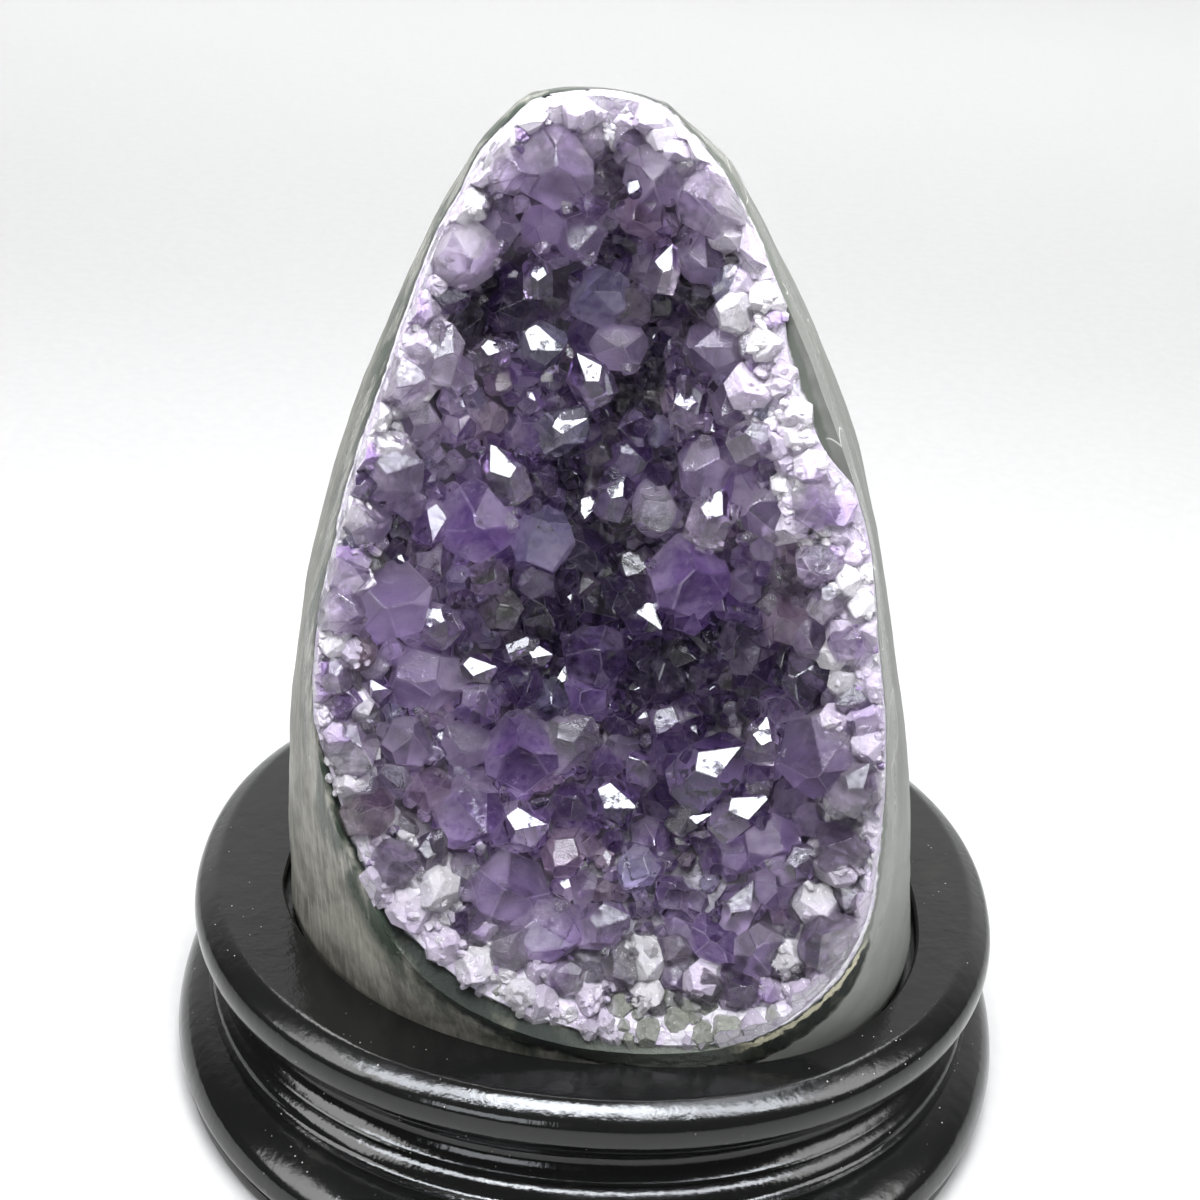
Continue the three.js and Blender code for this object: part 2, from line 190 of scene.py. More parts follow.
@dataclass(frozen=True)
class Course:
    """Smooth curves through rows of numbers, by their station.

    Attributes:
        stations: Where each row belongs, in rising order.
        rows: The numbers at each station.
    """

    stations: tuple[float, ...]
    rows: tuple[tuple[float, ...], ...]

    def at(self, place: float) -> list[float]:
        """The numbers at a place between the first and the last station.

        Args:
            place: The station asked for, held to the ends.

        Returns:
            One number for each column.
        """
        t, rows = self.stations, self.rows
        place = min(max(place, t[0]), t[-1])
        i = 0
        while i < len(t) - 2 and place > t[i + 1]:
            i += 1
        step = t[i + 1] - t[i]
        s = (place - t[i]) / step
        numbers = []
        for k in range(len(rows[0])):
            here, there = rows[i][k], rows[i + 1][k]
            chord = (there - here) / step
            start = (there - rows[i - 1][k]) / (t[i + 1] - t[i - 1]) if i > 0 else chord
            end = (rows[i + 2][k] - here) / (t[i + 2] - t[i]) if i + 2 < len(t) else chord
            numbers.append(
                here * (1 + 2 * s) * (1 - s) ** 2
                + start * step * s * (1 - s) ** 2
                + there * s * s * (3 - 2 * s)
                + end * step * s * s * (s - 1)
            )
        return numbers


def fill(tree: NodeTree, socket: NodeSocket, value: object) -> None:
    """Gives an input of a node a link or a plain value.

    Args:
        tree: The node tree.
        socket: The input.
        value: An output socket, a number, a colour or a point, or None to leave it as it is.
    """
    if isinstance(value, NodeSocket):
        tree.links.new(value, socket)
    elif value is not None:
        opaque = socket.type == "RGBA" and len(value) == 3
        socket.default_value = (*value, 1.0) if opaque else value


def add_node(tree: NodeTree, kind: str, *values: object, **named: object) -> Node:
    """Adds a shader node.

    Args:
        tree: The node tree of a material or of the world.
        kind: Blender's name of the node, without its ShaderNode.
        values: What its inputs get, in their order.
        named: What the inputs with these names get, and its settings, whose names are in small letters.

    Returns:
        The node.
    """
    node = tree.nodes.new("ShaderNode" + kind)
    for name, value in named.items():
        if name.islower():
            setattr(node, name, value)
        else:
            fill(tree, node.inputs[name], value)
    for socket, value in zip(node.inputs, values):
        fill(tree, socket, value)
    return node


class Sheet:
    """A material's node tree, with short ways to add nodes to it. Each way gives an output."""

    def __init__(self, name: str) -> None:
        """Makes an empty material with a Principled shader.

        Args:
            name: The material's name.
        """
        self.material = bpy.data.materials.new(name)
        self.material.use_nodes = True
        self.tree = self.material.node_tree
        self.tree.nodes.clear()
        self.shader = add_node(self.tree, "BsdfPrincipled")
        self.output = add_node(self.tree, "OutputMaterial", self.shader.outputs["BSDF"])
        self.place = add_node(self.tree, "TexCoord").outputs["Object"]

    def principled(self, **values: object) -> None:
        """Sets inputs of the Principled shader, with underscores for spaces in their names."""
        for name, value in values.items():
            fill(self.tree, self.shader.inputs[name.replace("_", " ")], value)

    def attribute(self, name: str, output: str = "Fac") -> NodeSocket:
        """Reads one of the piece's own attributes: Fac for a number, Color for a colour."""
        return add_node(self.tree, "Attribute", attribute_name=name).outputs[output]

    def axes(self) -> list[NodeSocket]:
        """Object coordinates as three outputs, X, Y and Z."""
        return list(add_node(self.tree, "SeparateXYZ", self.place).outputs)

    def stretched(self, scale: Triple, turn: Triple = (0.0, 0.0, 0.0)) -> NodeSocket:
        """Object coordinates, scaled along each axis and turned about it, in radians."""
        return add_node(self.tree, "Mapping", self.place, Scale=scale, Rotation=turn).outputs["Vector"]

    def noise(self, scale: float, detail: float = 3.0, vector: object = None, **more: float) -> NodeSocket:
        """Clouds, by how many there are in a metre, their octaves and where they are read."""
        inputs = {"Scale": scale, "Detail": detail, **more}
        return add_node(self.tree, "TexNoise", vector or self.place, **inputs).outputs["Fac"]

    def cells(self, scale: float, feature: str = "F1") -> NodeSocket:
        """Cells, by how many there are in a metre, or their joints with DISTANCE_TO_EDGE."""
        node = add_node(self.tree, "TexVoronoi", self.place, Scale=scale, feature=feature)
        return node.outputs["Distance"]

    def math(self, operation: str, *values: object) -> NodeSocket:
        """The outcome of one of the Math node's operations on sockets or numbers."""
        return add_node(self.tree, "Math", *values, operation=operation).outputs["Value"]

    def band(self, value: object, low: float, high: float, out: tuple = (0.0, 1.0)) -> NodeSocket:
        """Spreads the range from low to high over the range out, eased at both ends."""
        eased = {"interpolation_type": "SMOOTHSTEP"}
        return add_node(self.tree, "MapRange", value, low, high, *out, **eased).outputs["Result"]

    def mix(self, share: object, first: object, second: object) -> NodeSocket:
        """A mix of two colours: the first one at share 0, the second one at share 1."""
        values = (share, *[None] * 5, first, second)
        return add_node(self.tree, "Mix", *values, data_type="RGBA").outputs[2]

    def bump(self, height: object, distance: float, strength: object, under: object = None) -> NodeSocket:
        """A bump by its height from 0 to 1, the metres that 1 stands for and the share used."""
        inputs = {"Height": height, "Distance": distance, "Strength": strength, "Normal": under}
        return add_node(self.tree, "Bump", **inputs).outputs["Normal"]

    def absorb(self, colour: Triple, density: float) -> None:
        """Fills the piece with a tint that deepens with the way light goes through it."""
        node = add_node(self.tree, "VolumeAbsorption", Color=colour, Density=density)
        self.tree.links.new(node.outputs["Volume"], self.output.inputs["Volume"])


# --- Shapes shared by the stone, its crystals and the stand's pocket ---


@dataclass(frozen=True)
class StoneOutline:
    """Outer shape of the stone, in the frame of the stand's top.

    Attributes:
        levels: Heights above the stand's top.
        sections: Middle X, half width, Y of the widest line, reach forward and back, for each level.
        top: Height of the apex.
        front_left: Roundness of the flank left of the front.
        front_right: Roundness of the flank right of the front.
        back: Roundness of the back.
    """

    levels: tuple[float, ...] = (-3.65, 0, 20, 40, 60, 80, 100, 115, 121, 127, 133.2)
    sections: tuple[tuple[float, ...], ...] = (
        (1.2, 53.0, -12, 39.3, 50),
        (1.1, 53.4, -12, 39.8, 51),
        (-0.5, 52.1, -10, 48, 52),
        (-2.2, 49.8, -7, 55, 51),
        (-3.1, 46.6, -3.5, 60, 48),
        (-2.9, 41.2, -1.0, 60, 42),
        (-4.4, 33.2, 1.2, 42, 35),
        (-6.45, 25.75, 2.2, 27, 27),
        (-6.8, 22.2, 2.6, 21, 23),
        (-7.1, 18.55, 2.6, 13.5, 14),
        (-8.1, 12.2, 2.8, 5.6, 7.5),
    )
    top: float = 136.4
    front_left: float = 1.85
    front_right: float = 2.35
    back: float = 2.2

    def point(self, angle: float, z: float, share: float = 1.0, grown: float = 0.0) -> tuple:
        """A point of the outline.

        Args:
            angle: Direction in radians from +X, anticlockwise.
            z: Height above the stand's top.
            share: Share of the way out from the middle.
            grown: Clearance round the stone.

        Returns:
            X, Y and Z.
        """
        x, half_width, y, front, back = Course(self.levels, self.sections).at(z)
        ahead, left = sin(angle) < 0, cos(angle) < 0
        roundness = (self.front_left if left else self.front_right) if ahead else self.back
        wave = 0.5 * sin(3 * angle + z / 17) + 0.4 * sin(5 * angle - z / 11)
        extra = share * wave * min(1.0, half_width / 30) + grown
        reach = front if ahead else back
        across, along = oval_point(angle, share * half_width + extra, share * reach + extra, roundness)
        return (x + across, y + along, z)


@dataclass(frozen=True)
class Hollow:
    """The open face of the stone and the hollow behind it.

    Places on the face are given across it (u), up its slope (w) and out of it (h).

    Attributes:
        lean: How far the face leans back, in degrees.
        front: How far in front of the stone's middle the face starts.
        middle: Middle of the rim, across and up the face.
        rim: Distance to the rim every 15 degrees, from +X anticlockwise as seen from in front.
        depth: Depth of the hollow in its middle.
        steepness: How steeply its wall meets the rim.
        flank: How the ground flank falls away from the rim: its slope there and its curve.
        bed_thickness: Thickness of the quartz that lines it.
        bed_drop: How far the quartz dips inside the rim.
        white_beyond: How far the white quartz goes beyond the rim, every 15 degrees.
        white_inside: How far it goes inside the rim, every 15 degrees.
    """

    lean: float = 21.8
    front: float = 51.5
    middle: tuple[float, float] = (-3.0, 66.0)
    rim: tuple[float, ...] = (
        41.6, 40.9, 41.6, 43.8, 51.2, 67.0, 80.0, 75.6, 60.0, 49.1, 44.5, 41.4,
        41.0, 42.3, 44.6, 48.4, 53.4, 57.8, 61.0, 65.0, 67.3, 63.3, 51.9, 44.9,
    )  # fmt: skip
    depth: float = 21.0
    steepness: float = 2.6
    flank: tuple[float, float] = (0.25, 0.12)
    bed_thickness: float = 4.0
    bed_drop: float = 1.4
    white_beyond: tuple[float, ...] = (
        3.0, 3.2, 3.6, 0.9, 0.5, 5.5, 9.0, 10.0, 8.5, 7.5, 6.0, 5.0,
        4.0, 2.3, 0.8, 0.4, 0.4, 0.5, 0.4, 0.6, 0.3, 0.9, 2.6, 3.0,
    )  # fmt: skip
    white_inside: tuple[float, ...] = (
        4.2, 4.8, 6.2, 7.6, 8.4, 7.6, 6.6, 6.6, 6.4, 5.4, 4.2, 3.4,
        3.0, 3.0, 4.0, 5.6, 7.6, 8.0, 7.6, 6.8, 6.2, 5.8, 4.4, 4.0,
    )  # fmt: skip

    def matrix(self) -> Matrix:
        """Takes face coordinates to the stand-top frame, both in millimetres."""
        lean = radians(self.lean)
        up = Vector((0.0, sin(lean), cos(lean)))
        out = Vector((0.0, -cos(lean), sin(lean)))
        turn = Matrix((Vector((1.0, 0.0, 0.0)), up, out)).transposed().to_4x4()
        return Matrix.Translation((0.0, -self.front, 0.0)) @ turn

    def placed(self) -> Matrix:
        """Takes face coordinates to the part's frame, both in millimetres."""
        return Matrix.Translation((0, 0, STAND_HEIGHT)) @ self.matrix()

    def radius(self, angle: float) -> float:
        """Distance in millimetres from the middle to the rim, in a direction in radians."""
        return self.around(self.rim, angle)

    @staticmethod
    def around(row: tuple[float, ...], angle: float) -> float:
        """Value at any angle of a row that is given every 15 degrees.

        Args:
            row: The 24 numbers.
            angle: Direction on the face, in radians.

        Returns:
            The number in that direction.
        """
        turn = degrees(angle) % 360.0
        i = int(turn // 15)
        rows = tuple((row[(i + k) % 24],) for k in (-1, 0, 1, 2))
        return Course((-15.0, 0.0, 15.0, 30.0), rows).at(turn - 15 * i)[0]

    def spot(self, angle: float, reach: float) -> tuple[float, float]:
        """Face coordinates at a direction and a distance from the middle."""
        return self.middle[0] + reach * cos(angle), self.middle[1] + reach * sin(angle)

    def polar(self, u: float, w: float) -> tuple[float, float]:
        """Direction of a spot from the middle, and its distance as a share of the rim's."""
        angle = atan2(w - self.middle[1], u - self.middle[0])
        return angle, hypot(u - self.middle[0], w - self.middle[1]) / self.radius(angle)

    def wall(self, share: float, depth: float | None = None) -> float:
        """Height of a wall of the given or its own depth, at a share of the way to the rim."""
        deep = self.depth if depth is None else depth
        return -deep * (1.0 - min(1.0, share) ** self.steepness)

    def bed(self, share: float) -> float:
        """Height of the quartz bed's surface, at a share of the way to the rim."""
        deep = self.depth - self.bed_thickness
        return self.wall(share / 0.93, deep) - self.bed_drop * (1.0 - min(1.0, share) ** 8)

    def bed_height(self, u: float, w: float) -> float:
        """Height of the quartz bed's surface at a spot."""
        return self.bed(self.polar(u, w)[1])

    def bed_normal(self, u: float, w: float) -> Vector:
        """The way the bed faces at a spot.

        Args:
            u: Place across the face.
            w: Place up the face.

        Returns:
            The normal in face coordinates.
        """
        step = 1.5
        slope_u = (self.bed_height(u + step, w) - self.bed_height(u - step, w)) / (2 * step)
        slope_w = (self.bed_height(u, w + step) - self.bed_height(u, w - step)) / (2 * step)
        return Vector((-slope_u, -slope_w, 1.0)).normalized()

    def flank_height(self, beyond: float) -> float:
        """Height of the ground flank above the face, at a distance beyond the rim."""
        out = max(0.0, beyond)
        return self.flank[0] * out + self.flank[1] * out * out

    def head_height(self, u: float, w: float, clear: float) -> float:
        """Height of the shoulder of a large crystal, a little nearer to the bed close to the rim."""
        share = self.polar(u, w)[1]
        return self.bed_height(u, w) + clear * (1 - 0.4 * share**6)

    def ring(self, share: float, beyond: float, height: float, count: int, rough: float = 0.0) -> list[tuple]:
        """One ring of points round the hollow's middle.

        Args:
            share: How much of the way to the rim it goes out.
            beyond: How much further than that, in millimetres.
            height: Its height out of the face.
            count: Number of points.
            rough: How far it goes up and down.

        Returns:
            The points, in the part's frame.
        """
        placed, points = self.placed(), []
        for angle in turns(count):
            spot = self.spot(angle, share * self.radius(angle) + beyond)
            lump = rough * noise(Vector((*spot, 0)) * 0.45) if rough else 0.0
            points.append(tuple(placed @ Vector((*spot, height + lump))))
        return points

    def space(self, segments: int = 120) -> Object:
        """Everything in front of the hollow's wall and of the ground flank, as a cutting tool.

        Args:
            segments: Points round it.

        Returns:
            A closed object in the part's frame.
        """
        shares = (0.0, 0.12, 0.25, 0.38, 0.5, 0.6, 0.7, 0.78, 0.85, 0.91, 0.96, 1.0)
        stations = [(max(s, 1e-4), 0.0, self.wall(s)) for s in shares]
        stations += [(1.0, b, self.flank_height(b)) for b in (0.6, 1.4, 2.4, 3.6, 5, 7, 9, 12, 16, 22)]
        return loft("hollow_space", [self.ring(*station, segments) for station in stations])


# --- Finishes ---


@dataclass(frozen=True)
class LacquerFinish:
    """Thick black lacquer over carved wood, with faint brush ripple and a little dust.

    Attributes:
        colour: Colour of the lacquer.
        worn: Colour where it is rubbed thin.
        dust: Colour of the specks of dust on it.
        roughness: Roughness of the clearest and of the dullest lacquer.
    """

    colour: Triple = (0.0045, 0.0047, 0.0045)
    worn: Triple = (0.022, 0.020, 0.018)
    dust: Triple = (0.33, 0.32, 0.3)
    roughness: tuple[float, float] = (0.09, 0.21)

    def make(self) -> Material:
        """Builds the material."""
        sheet = Sheet("black_lacquer")
        rubbed = sheet.band(sheet.noise(55.0, 5.0, Roughness=0.62), 0.58, 0.78, (0.0, 0.5))
        few = sheet.band(sheet.noise(75.0, 2.0), 0.52, 0.62)
        specks = sheet.math("MULTIPLY", sheet.band(sheet.cells(620.0), 0.085, 0.05), few)
        dull = sheet.band(sheet.noise(26.0, 4.0), 0.35, 0.75, self.roughness)
        sheet.principled(
            Base_Color=sheet.mix(specks, sheet.mix(rubbed, self.colour, self.worn), self.dust),
            Roughness=sheet.math("ADD", dull, specks),
        )
        swell = sheet.bump(sheet.noise(140.0, 2.0), 0.00014, 0.6)
        strokes = sheet.noise(520.0, 4.0, sheet.stretched((1.0, 1.0, 0.2)), Roughness=0.6)
        brushed = sheet.bump(strokes, 0.0001, 0.75, swell)
        sheet.principled(Normal=sheet.bump(sheet.noise(1500.0, 2.0), 0.000012, 0.6, brushed))
        return sheet.material


@dataclass(frozen=True)
class StoneFinish:
    """Ground geode wall: basalt, a dark green seam, grey agate and the white quartz next to it.

    Attributes:
        basalt: The two colours of the basalt.
        scratched: Colours of its light and its dark grinding scratches.
        stain: Colour of the green stain in the basalt next to the seam.
        seam: Colours of the celadonite seam: its own, paler high on the right, and its crumbs.
        vein: Colour of the seam where it opens as a small olive vein, low on the right.
        agate: Colours of the agate, high up and low down.
        bands: Colours of its wavy bands and of its pale flecks.
        thread: Colour of the thin pale loops in it, high up.
        quartz: The two colours of the cut quartz next to the crystals.
        polish: Roughness near the crystals and further out, and how much rougher the seam's foot is.
    """

    basalt: tuple[Triple, ...] = ((0.25, 0.245, 0.215), (0.115, 0.113, 0.098))
    scratched: tuple[Triple, ...] = ((0.36, 0.355, 0.31), (0.09, 0.088, 0.075))
    stain: Triple = (0.03, 0.042, 0.03)
    seam: tuple[Triple, ...] = ((0.012, 0.016, 0.013), (0.10, 0.11, 0.095), (0.075, 0.078, 0.058))
    vein: Triple = (0.50, 0.48, 0.35)
    agate: tuple[Triple, ...] = ((0.145, 0.15, 0.138), (0.205, 0.211, 0.198))
    bands: tuple[Triple, ...] = ((0.17, 0.18, 0.165), (0.30, 0.30, 0.28))
    thread: Triple = (0.62, 0.62, 0.56)
    quartz: tuple[Triple, ...] = ((0.66, 0.65, 0.68), (0.42, 0.38, 0.5))
    polish: Triple = (0.14, 0.38, 0.4)

    def make(self) -> Material:
        """Builds the material. It reads the distance from the crystal layer, in millimetres."""
        sheet = Sheet("ground_geode_wall")
        # Each place on the stone is a share from 0 to 1, faded in along X or Z.
        x, _, z = sheet.axes()
        right, high = sheet.band(x, -0.006, 0.018), sheet.band(z, 0.06, 0.10)
        foot = sheet.band(z, 0.056, 0.042)
        corner = sheet.math("MULTIPLY", sheet.band(x, 0.022, 0.027), sheet.band(z, 0.053, 0.048))
        layer = sheet.attribute("layer")
        wander = sheet.math("MULTIPLY_ADD", sheet.noise(70.0, 3.0), 3.0, -1.5)
        fray = sheet.math("MULTIPLY_ADD", sheet.noise(600.0, 4.0), 1.6, -0.8)
        depth = sheet.math("ADD", sheet.math("ADD", layer, wander), fray)
        scratches = sheet.noise(1300.0, 4.0, sheet.stretched((1.0, 1.0, 0.03), (0.0, 0.06, 0.0)))
        mottle = sheet.noise(160.0, 6.0, Roughness=0.65)
        rock = self.rock(sheet, scratches, mottle, depth, high)
        agate = self.banded_agate(sheet, mottle, layer, sheet.band(z, 0.085, 0.05), high)
        # The seam is wider at the foot, high on the right and where the vein opens in it.
        width = sheet.math("MULTIPLY_ADD", foot, 3.4, 1.3)
        width = sheet.math("ADD", width, sheet.math("MULTIPLY", sheet.math("MULTIPLY", right, high), 0.9))
        width = sheet.math("ADD", width, sheet.math("MULTIPLY", corner, 1.2))
        inside = sheet.band(sheet.math("SUBTRACT", depth, width), 0.8, -0.2)
        trace = sheet.math("ABSOLUTE", sheet.math("SUBTRACT", sheet.math("ADD", depth, fray), 1.9))
        dark = sheet.mix(right, self.seam[0], self.seam[1])
        dark = sheet.mix(corner, dark, sheet.mix(sheet.band(trace, 0.9, 0.4), self.seam[0], self.vein))
        crumbs = sheet.math("MULTIPLY", sheet.band(mottle, 0.5, 0.68, (0.0, 0.7)), foot)
        dark = sheet.mix(crumbs, dark, self.seam[2])
        colour = sheet.mix(inside, sheet.mix(right, rock, agate), dark)
        quartz = sheet.mix(sheet.band(sheet.noise(700.0, 4.0), 0.4, 0.7), *self.quartz)
        colour = sheet.mix(sheet.band(depth, 1.0, 0.2), colour, quartz)
        # The sides are polished near the crystals, and the seam's foot is left rough.
        near, far, more = self.polish
        rugged = sheet.math("MULTIPLY", inside, foot)
        rough = sheet.math("MULTIPLY_ADD", rugged, more, sheet.band(depth, 4.0, 8.0, (near, far)))
        sheet.principled(
            Base_Color=colour,
            Roughness=sheet.math("MULTIPLY_ADD", scratches, 0.16, rough),
            Specular_IOR_Level=0.25,
        )
        grooves = sheet.bump(mottle, 0.00015, 0.35, sheet.bump(scratches, 0.00012, 0.6))
        chipped = sheet.math("MULTIPLY", sheet.noise(420.0, 5.0, Roughness=0.7), rugged)
        sheet.principled(Normal=sheet.bump(chipped, 0.0009, 0.9, grooves))
        return sheet.material

    def rock(self, sheet: Sheet, scratches: object, mottle: object, depth: object, high: object) -> object:
        """Basalt with grinding scratches, greyer high up and stained green near the seam.

        Args:
            sheet: The material.
            scratches: Socket of the grinding scratches.
            mottle: Socket of the rock's mottling.
            depth: Socket of the distance from the crystal layer.
            high: Socket that is 1 high up on the stone.

        Returns:
            The colour output.
        """
        light, dark = self.scratched
        colour = sheet.mix(sheet.band(mottle, 0.36, 0.66), *self.basalt)
        colour = sheet.mix(sheet.math("MULTIPLY", high, 0.6), colour, self.agate[0])
        colour = sheet.mix(sheet.band(scratches, 0.5, 0.68, (0.0, 0.55)), colour, light)
        colour = sheet.mix(sheet.band(scratches, 0.45, 0.3, (0.0, 0.5)), colour, dark)
        streaks = sheet.noise(230.0, 5.0, sheet.stretched((1.0, 1.0, 0.3), (0.0, 0.5, 0.0)))
        near = sheet.band(depth, 9.5, 4.0)
        return sheet.mix(sheet.math("MULTIPLY", near, sheet.band(streaks, 0.40, 0.56)), colour, self.stain)

    def banded_agate(self, sheet: Sheet, mottle: object, layer: object, low: object, high: object) -> object:
        """Grey agate with wavy bands, pale flecks and, high up, thin pale loops.

        Args:
            sheet: The material.
            mottle: Socket of the rock's mottling.
            layer: Socket of the even distance from the crystal layer.
            low: Socket that is 1 low down on the stone.
            high: Socket that is 1 high up on it.

        Returns:
            The colour output.
        """
        rings = sheet.noise(38.0, 2.0, Distortion=0.8)
        drift = sheet.math("MULTIPLY_ADD", rings, 26.0, sheet.math("MULTIPLY", layer, 0.9))
        waves = sheet.math("SINE", drift)
        colour = sheet.mix(low, *self.agate)
        colour = sheet.mix(sheet.band(waves, 0.1, 1.0, (0.0, 0.4)), colour, self.bands[0])
        colour = sheet.mix(sheet.band(mottle, 0.5, 0.75, (0.0, 0.3)), colour, self.bands[1])
        drift = sheet.math("MULTIPLY_ADD", rings, 9.0, sheet.math("MULTIPLY", layer, 0.12))
        loops = sheet.band(sheet.math("PINGPONG", drift, 1.0), 0.05, 0.0, (0.0, 0.75))
        return sheet.mix(sheet.math("MULTIPLY", loops, high), colour, self.thread)


class Tone(Enum):
    """Colours that a crystal can have, as (body, tip, frost), and one near-black painted shade."""

    VIOLET = ((0.92, 0.86, 0.95), (0.38, 0.24, 0.56), 0.05)
    DEEP = ((0.38, 0.31, 0.48), (0.16, 0.10, 0.27), 0.0)
    # Near-black painted shade, for the crystals in the dark nests, not a colour of the quartz.
    NIGHT = ((0.15, 0.14, 0.17), (0.08, 0.07, 0.10), 0.0)
    PALE = ((0.99, 0.96, 1.0), (0.82, 0.70, 0.94), 0.25)
    FROST = ((0.97, 0.97, 0.97), (0.90, 0.89, 0.92), 0.9)
    ROSE = ((0.84, 0.72, 0.74), (0.56, 0.41, 0.48), 0.1)
    SMOKE = ((0.44, 0.44, 0.38), (0.26, 0.26, 0.21), 0.0)
    GLASS = ((0.97, 0.97, 0.95), (0.90, 0.89, 0.88), 0.45)
    STEEL = ((0.86, 0.88, 0.94), (0.48, 0.50, 0.66), 0.05)
    LILAC = ((0.90, 0.85, 0.94), (0.72, 0.63, 0.82), 0.4)
    WHITE = ((0.95, 0.93, 0.96), (0.90, 0.87, 0.93), 0.6)
    GREEN = ((0.50, 0.52, 0.46), (0.38, 0.40, 0.34), 0.3)
    CUT = ((0.92, 0.90, 0.94), (0.92, 0.90, 0.94), 0.0)


@dataclass(frozen=True)
class AmethystFinish:
    """Clear quartz coloured by each crystal's tone, with veils inside and painted light and shade on faces.

    Attributes:
        clearness: Share of the light that goes through the surface.
        roughness: Roughness of a clean crystal face.
        veils: Colour that the veils turn a crystal towards.
        depths: Colour of the painted shade that its darkest faces turn towards.
        tint: Colour that the mass lets through.
        density: How fast it takes the rest, for each metre.
    """

    clearness: float = 0.94
    roughness: float = 0.03
    veils: Triple = (0.95, 0.93, 0.97)
    depths: Triple = (0.035, 0.02, 0.07)
    tint: Triple = (0.64, 0.46, 0.80)
    density: float = 70.0

    def make(self) -> Material:
        """Builds the material."""
        sheet = Sheet("amethyst")
        body, tip = sheet.attribute("body", "Color"), sheet.attribute("tip", "Color")
        frost, painted_facet_light = sheet.attribute("frost"), sheet.attribute("painted_facet_light")
        veil = sheet.noise(420.0, 5.0, Roughness=0.62, Distortion=0.8)
        wisps = sheet.noise(1500.0, 4.0, Roughness=0.7, Distortion=1.5)
        height = sheet.math("SUBTRACT", sheet.attribute("rise"), 0.5)
        high = sheet.math("ADD", sheet.noise(170.0, 2.0), height)
        colour = sheet.mix(sheet.band(high, 0.35, 0.85), body, tip)
        pale = sheet.mix(0.5, body, self.veils)
        # Painted light and shade: some faces are painted paler and others darker, in place of reflection and
        # refraction.
        colour = sheet.mix(sheet.band(painted_facet_light, 0.15, 1.0, (0.0, 0.95)), colour, sheet.mix(0.4, body, pale))
        inner = sheet.mix(0.75, tip, self.depths)
        colour = sheet.mix(sheet.band(painted_facet_light, 0.05, -0.8, (0.0, 0.85)), colour, inner)
        colour = sheet.mix(sheet.band(veil, 0.56, 0.72, (0.0, 0.6)), colour, pale)
        colour = sheet.mix(sheet.band(wisps, 0.58, 0.72, (0.0, 0.6)), colour, pale)
        # Painted highlight along the worn edges, which wear also whitens a little.
        colour = sheet.mix(sheet.math("MULTIPLY", sheet.attribute("worn_edge_highlight"), 0.12), colour, pale)
        rough = sheet.band(veil, 0.5, 0.8, (self.roughness, 0.14))
        sheet.principled(
            Base_Color=colour,
            Roughness=sheet.math("MULTIPLY_ADD", frost, 0.12, rough),
            IOR=QUARTZ_IOR,
            Transmission_Weight=self.clearness,
        )
        steps = sheet.bump(sheet.noise(380.0, 3.0), 0.0002, 0.25)
        broken = sheet.band(sheet.noise(330.0, 4.0, Roughness=0.65), 0.52, 0.68, (0.03, 0.65))
        crumbs = sheet.noise(900.0, 5.0, Roughness=0.7, Distortion=1.2)
        strength = sheet.math("MAXIMUM", frost, broken)
        sheet.principled(Normal=sheet.bump(crumbs, 0.0006, strength, steps))
        sheet.absorb(self.tint, self.density)
        return sheet.material


@dataclass(frozen=True)
class BedFinish:
    """Milky quartz that the crystals grow from, with painted shade down in the hollow and between crystals.

    Attributes:
        milky: Colour next to the rim.
        deep: Colour of the painted shade down in the hollow and between the crystals.
        clouds: Colour of its clouds.
        mass: The finish of the crystals, whose mass it is part of.
    """

    milky: Triple = (0.86, 0.83, 0.90)
    deep: Triple = (0.07, 0.06, 0.08)
    clouds: Triple = (0.55, 0.5, 0.62)
    mass: AmethystFinish = AmethystFinish()

    def make(self) -> Material:
        """Builds the material."""
        sheet = Sheet("milky_quartz")
        grain = sheet.noise(520.0, 5.0)
        # Painted shade: the bed darkens by its shade marks, broken up by clouds of noise.
        shade = sheet.math("SUBTRACT", sheet.attribute("shade"), 0.2)
        dark = sheet.math("MULTIPLY_ADD", sheet.noise(90.0, 3.0), 0.5, shade)
        colour = sheet.mix(sheet.band(dark, 0.1, 0.7), self.milky, self.deep)
        colour = sheet.mix(sheet.band(grain, 0.5, 0.75, (0.0, 0.3)), colour, self.clouds)
        sheet.principled(Base_Color=colour, Roughness=sheet.band(grain, 0.3, 0.7, (0.3, 0.6)))
        sheet.principled(Normal=sheet.bump(grain, 0.0005, 0.8))
        sheet.absorb(self.mass.tint, self.mass.density)
        return sheet.material


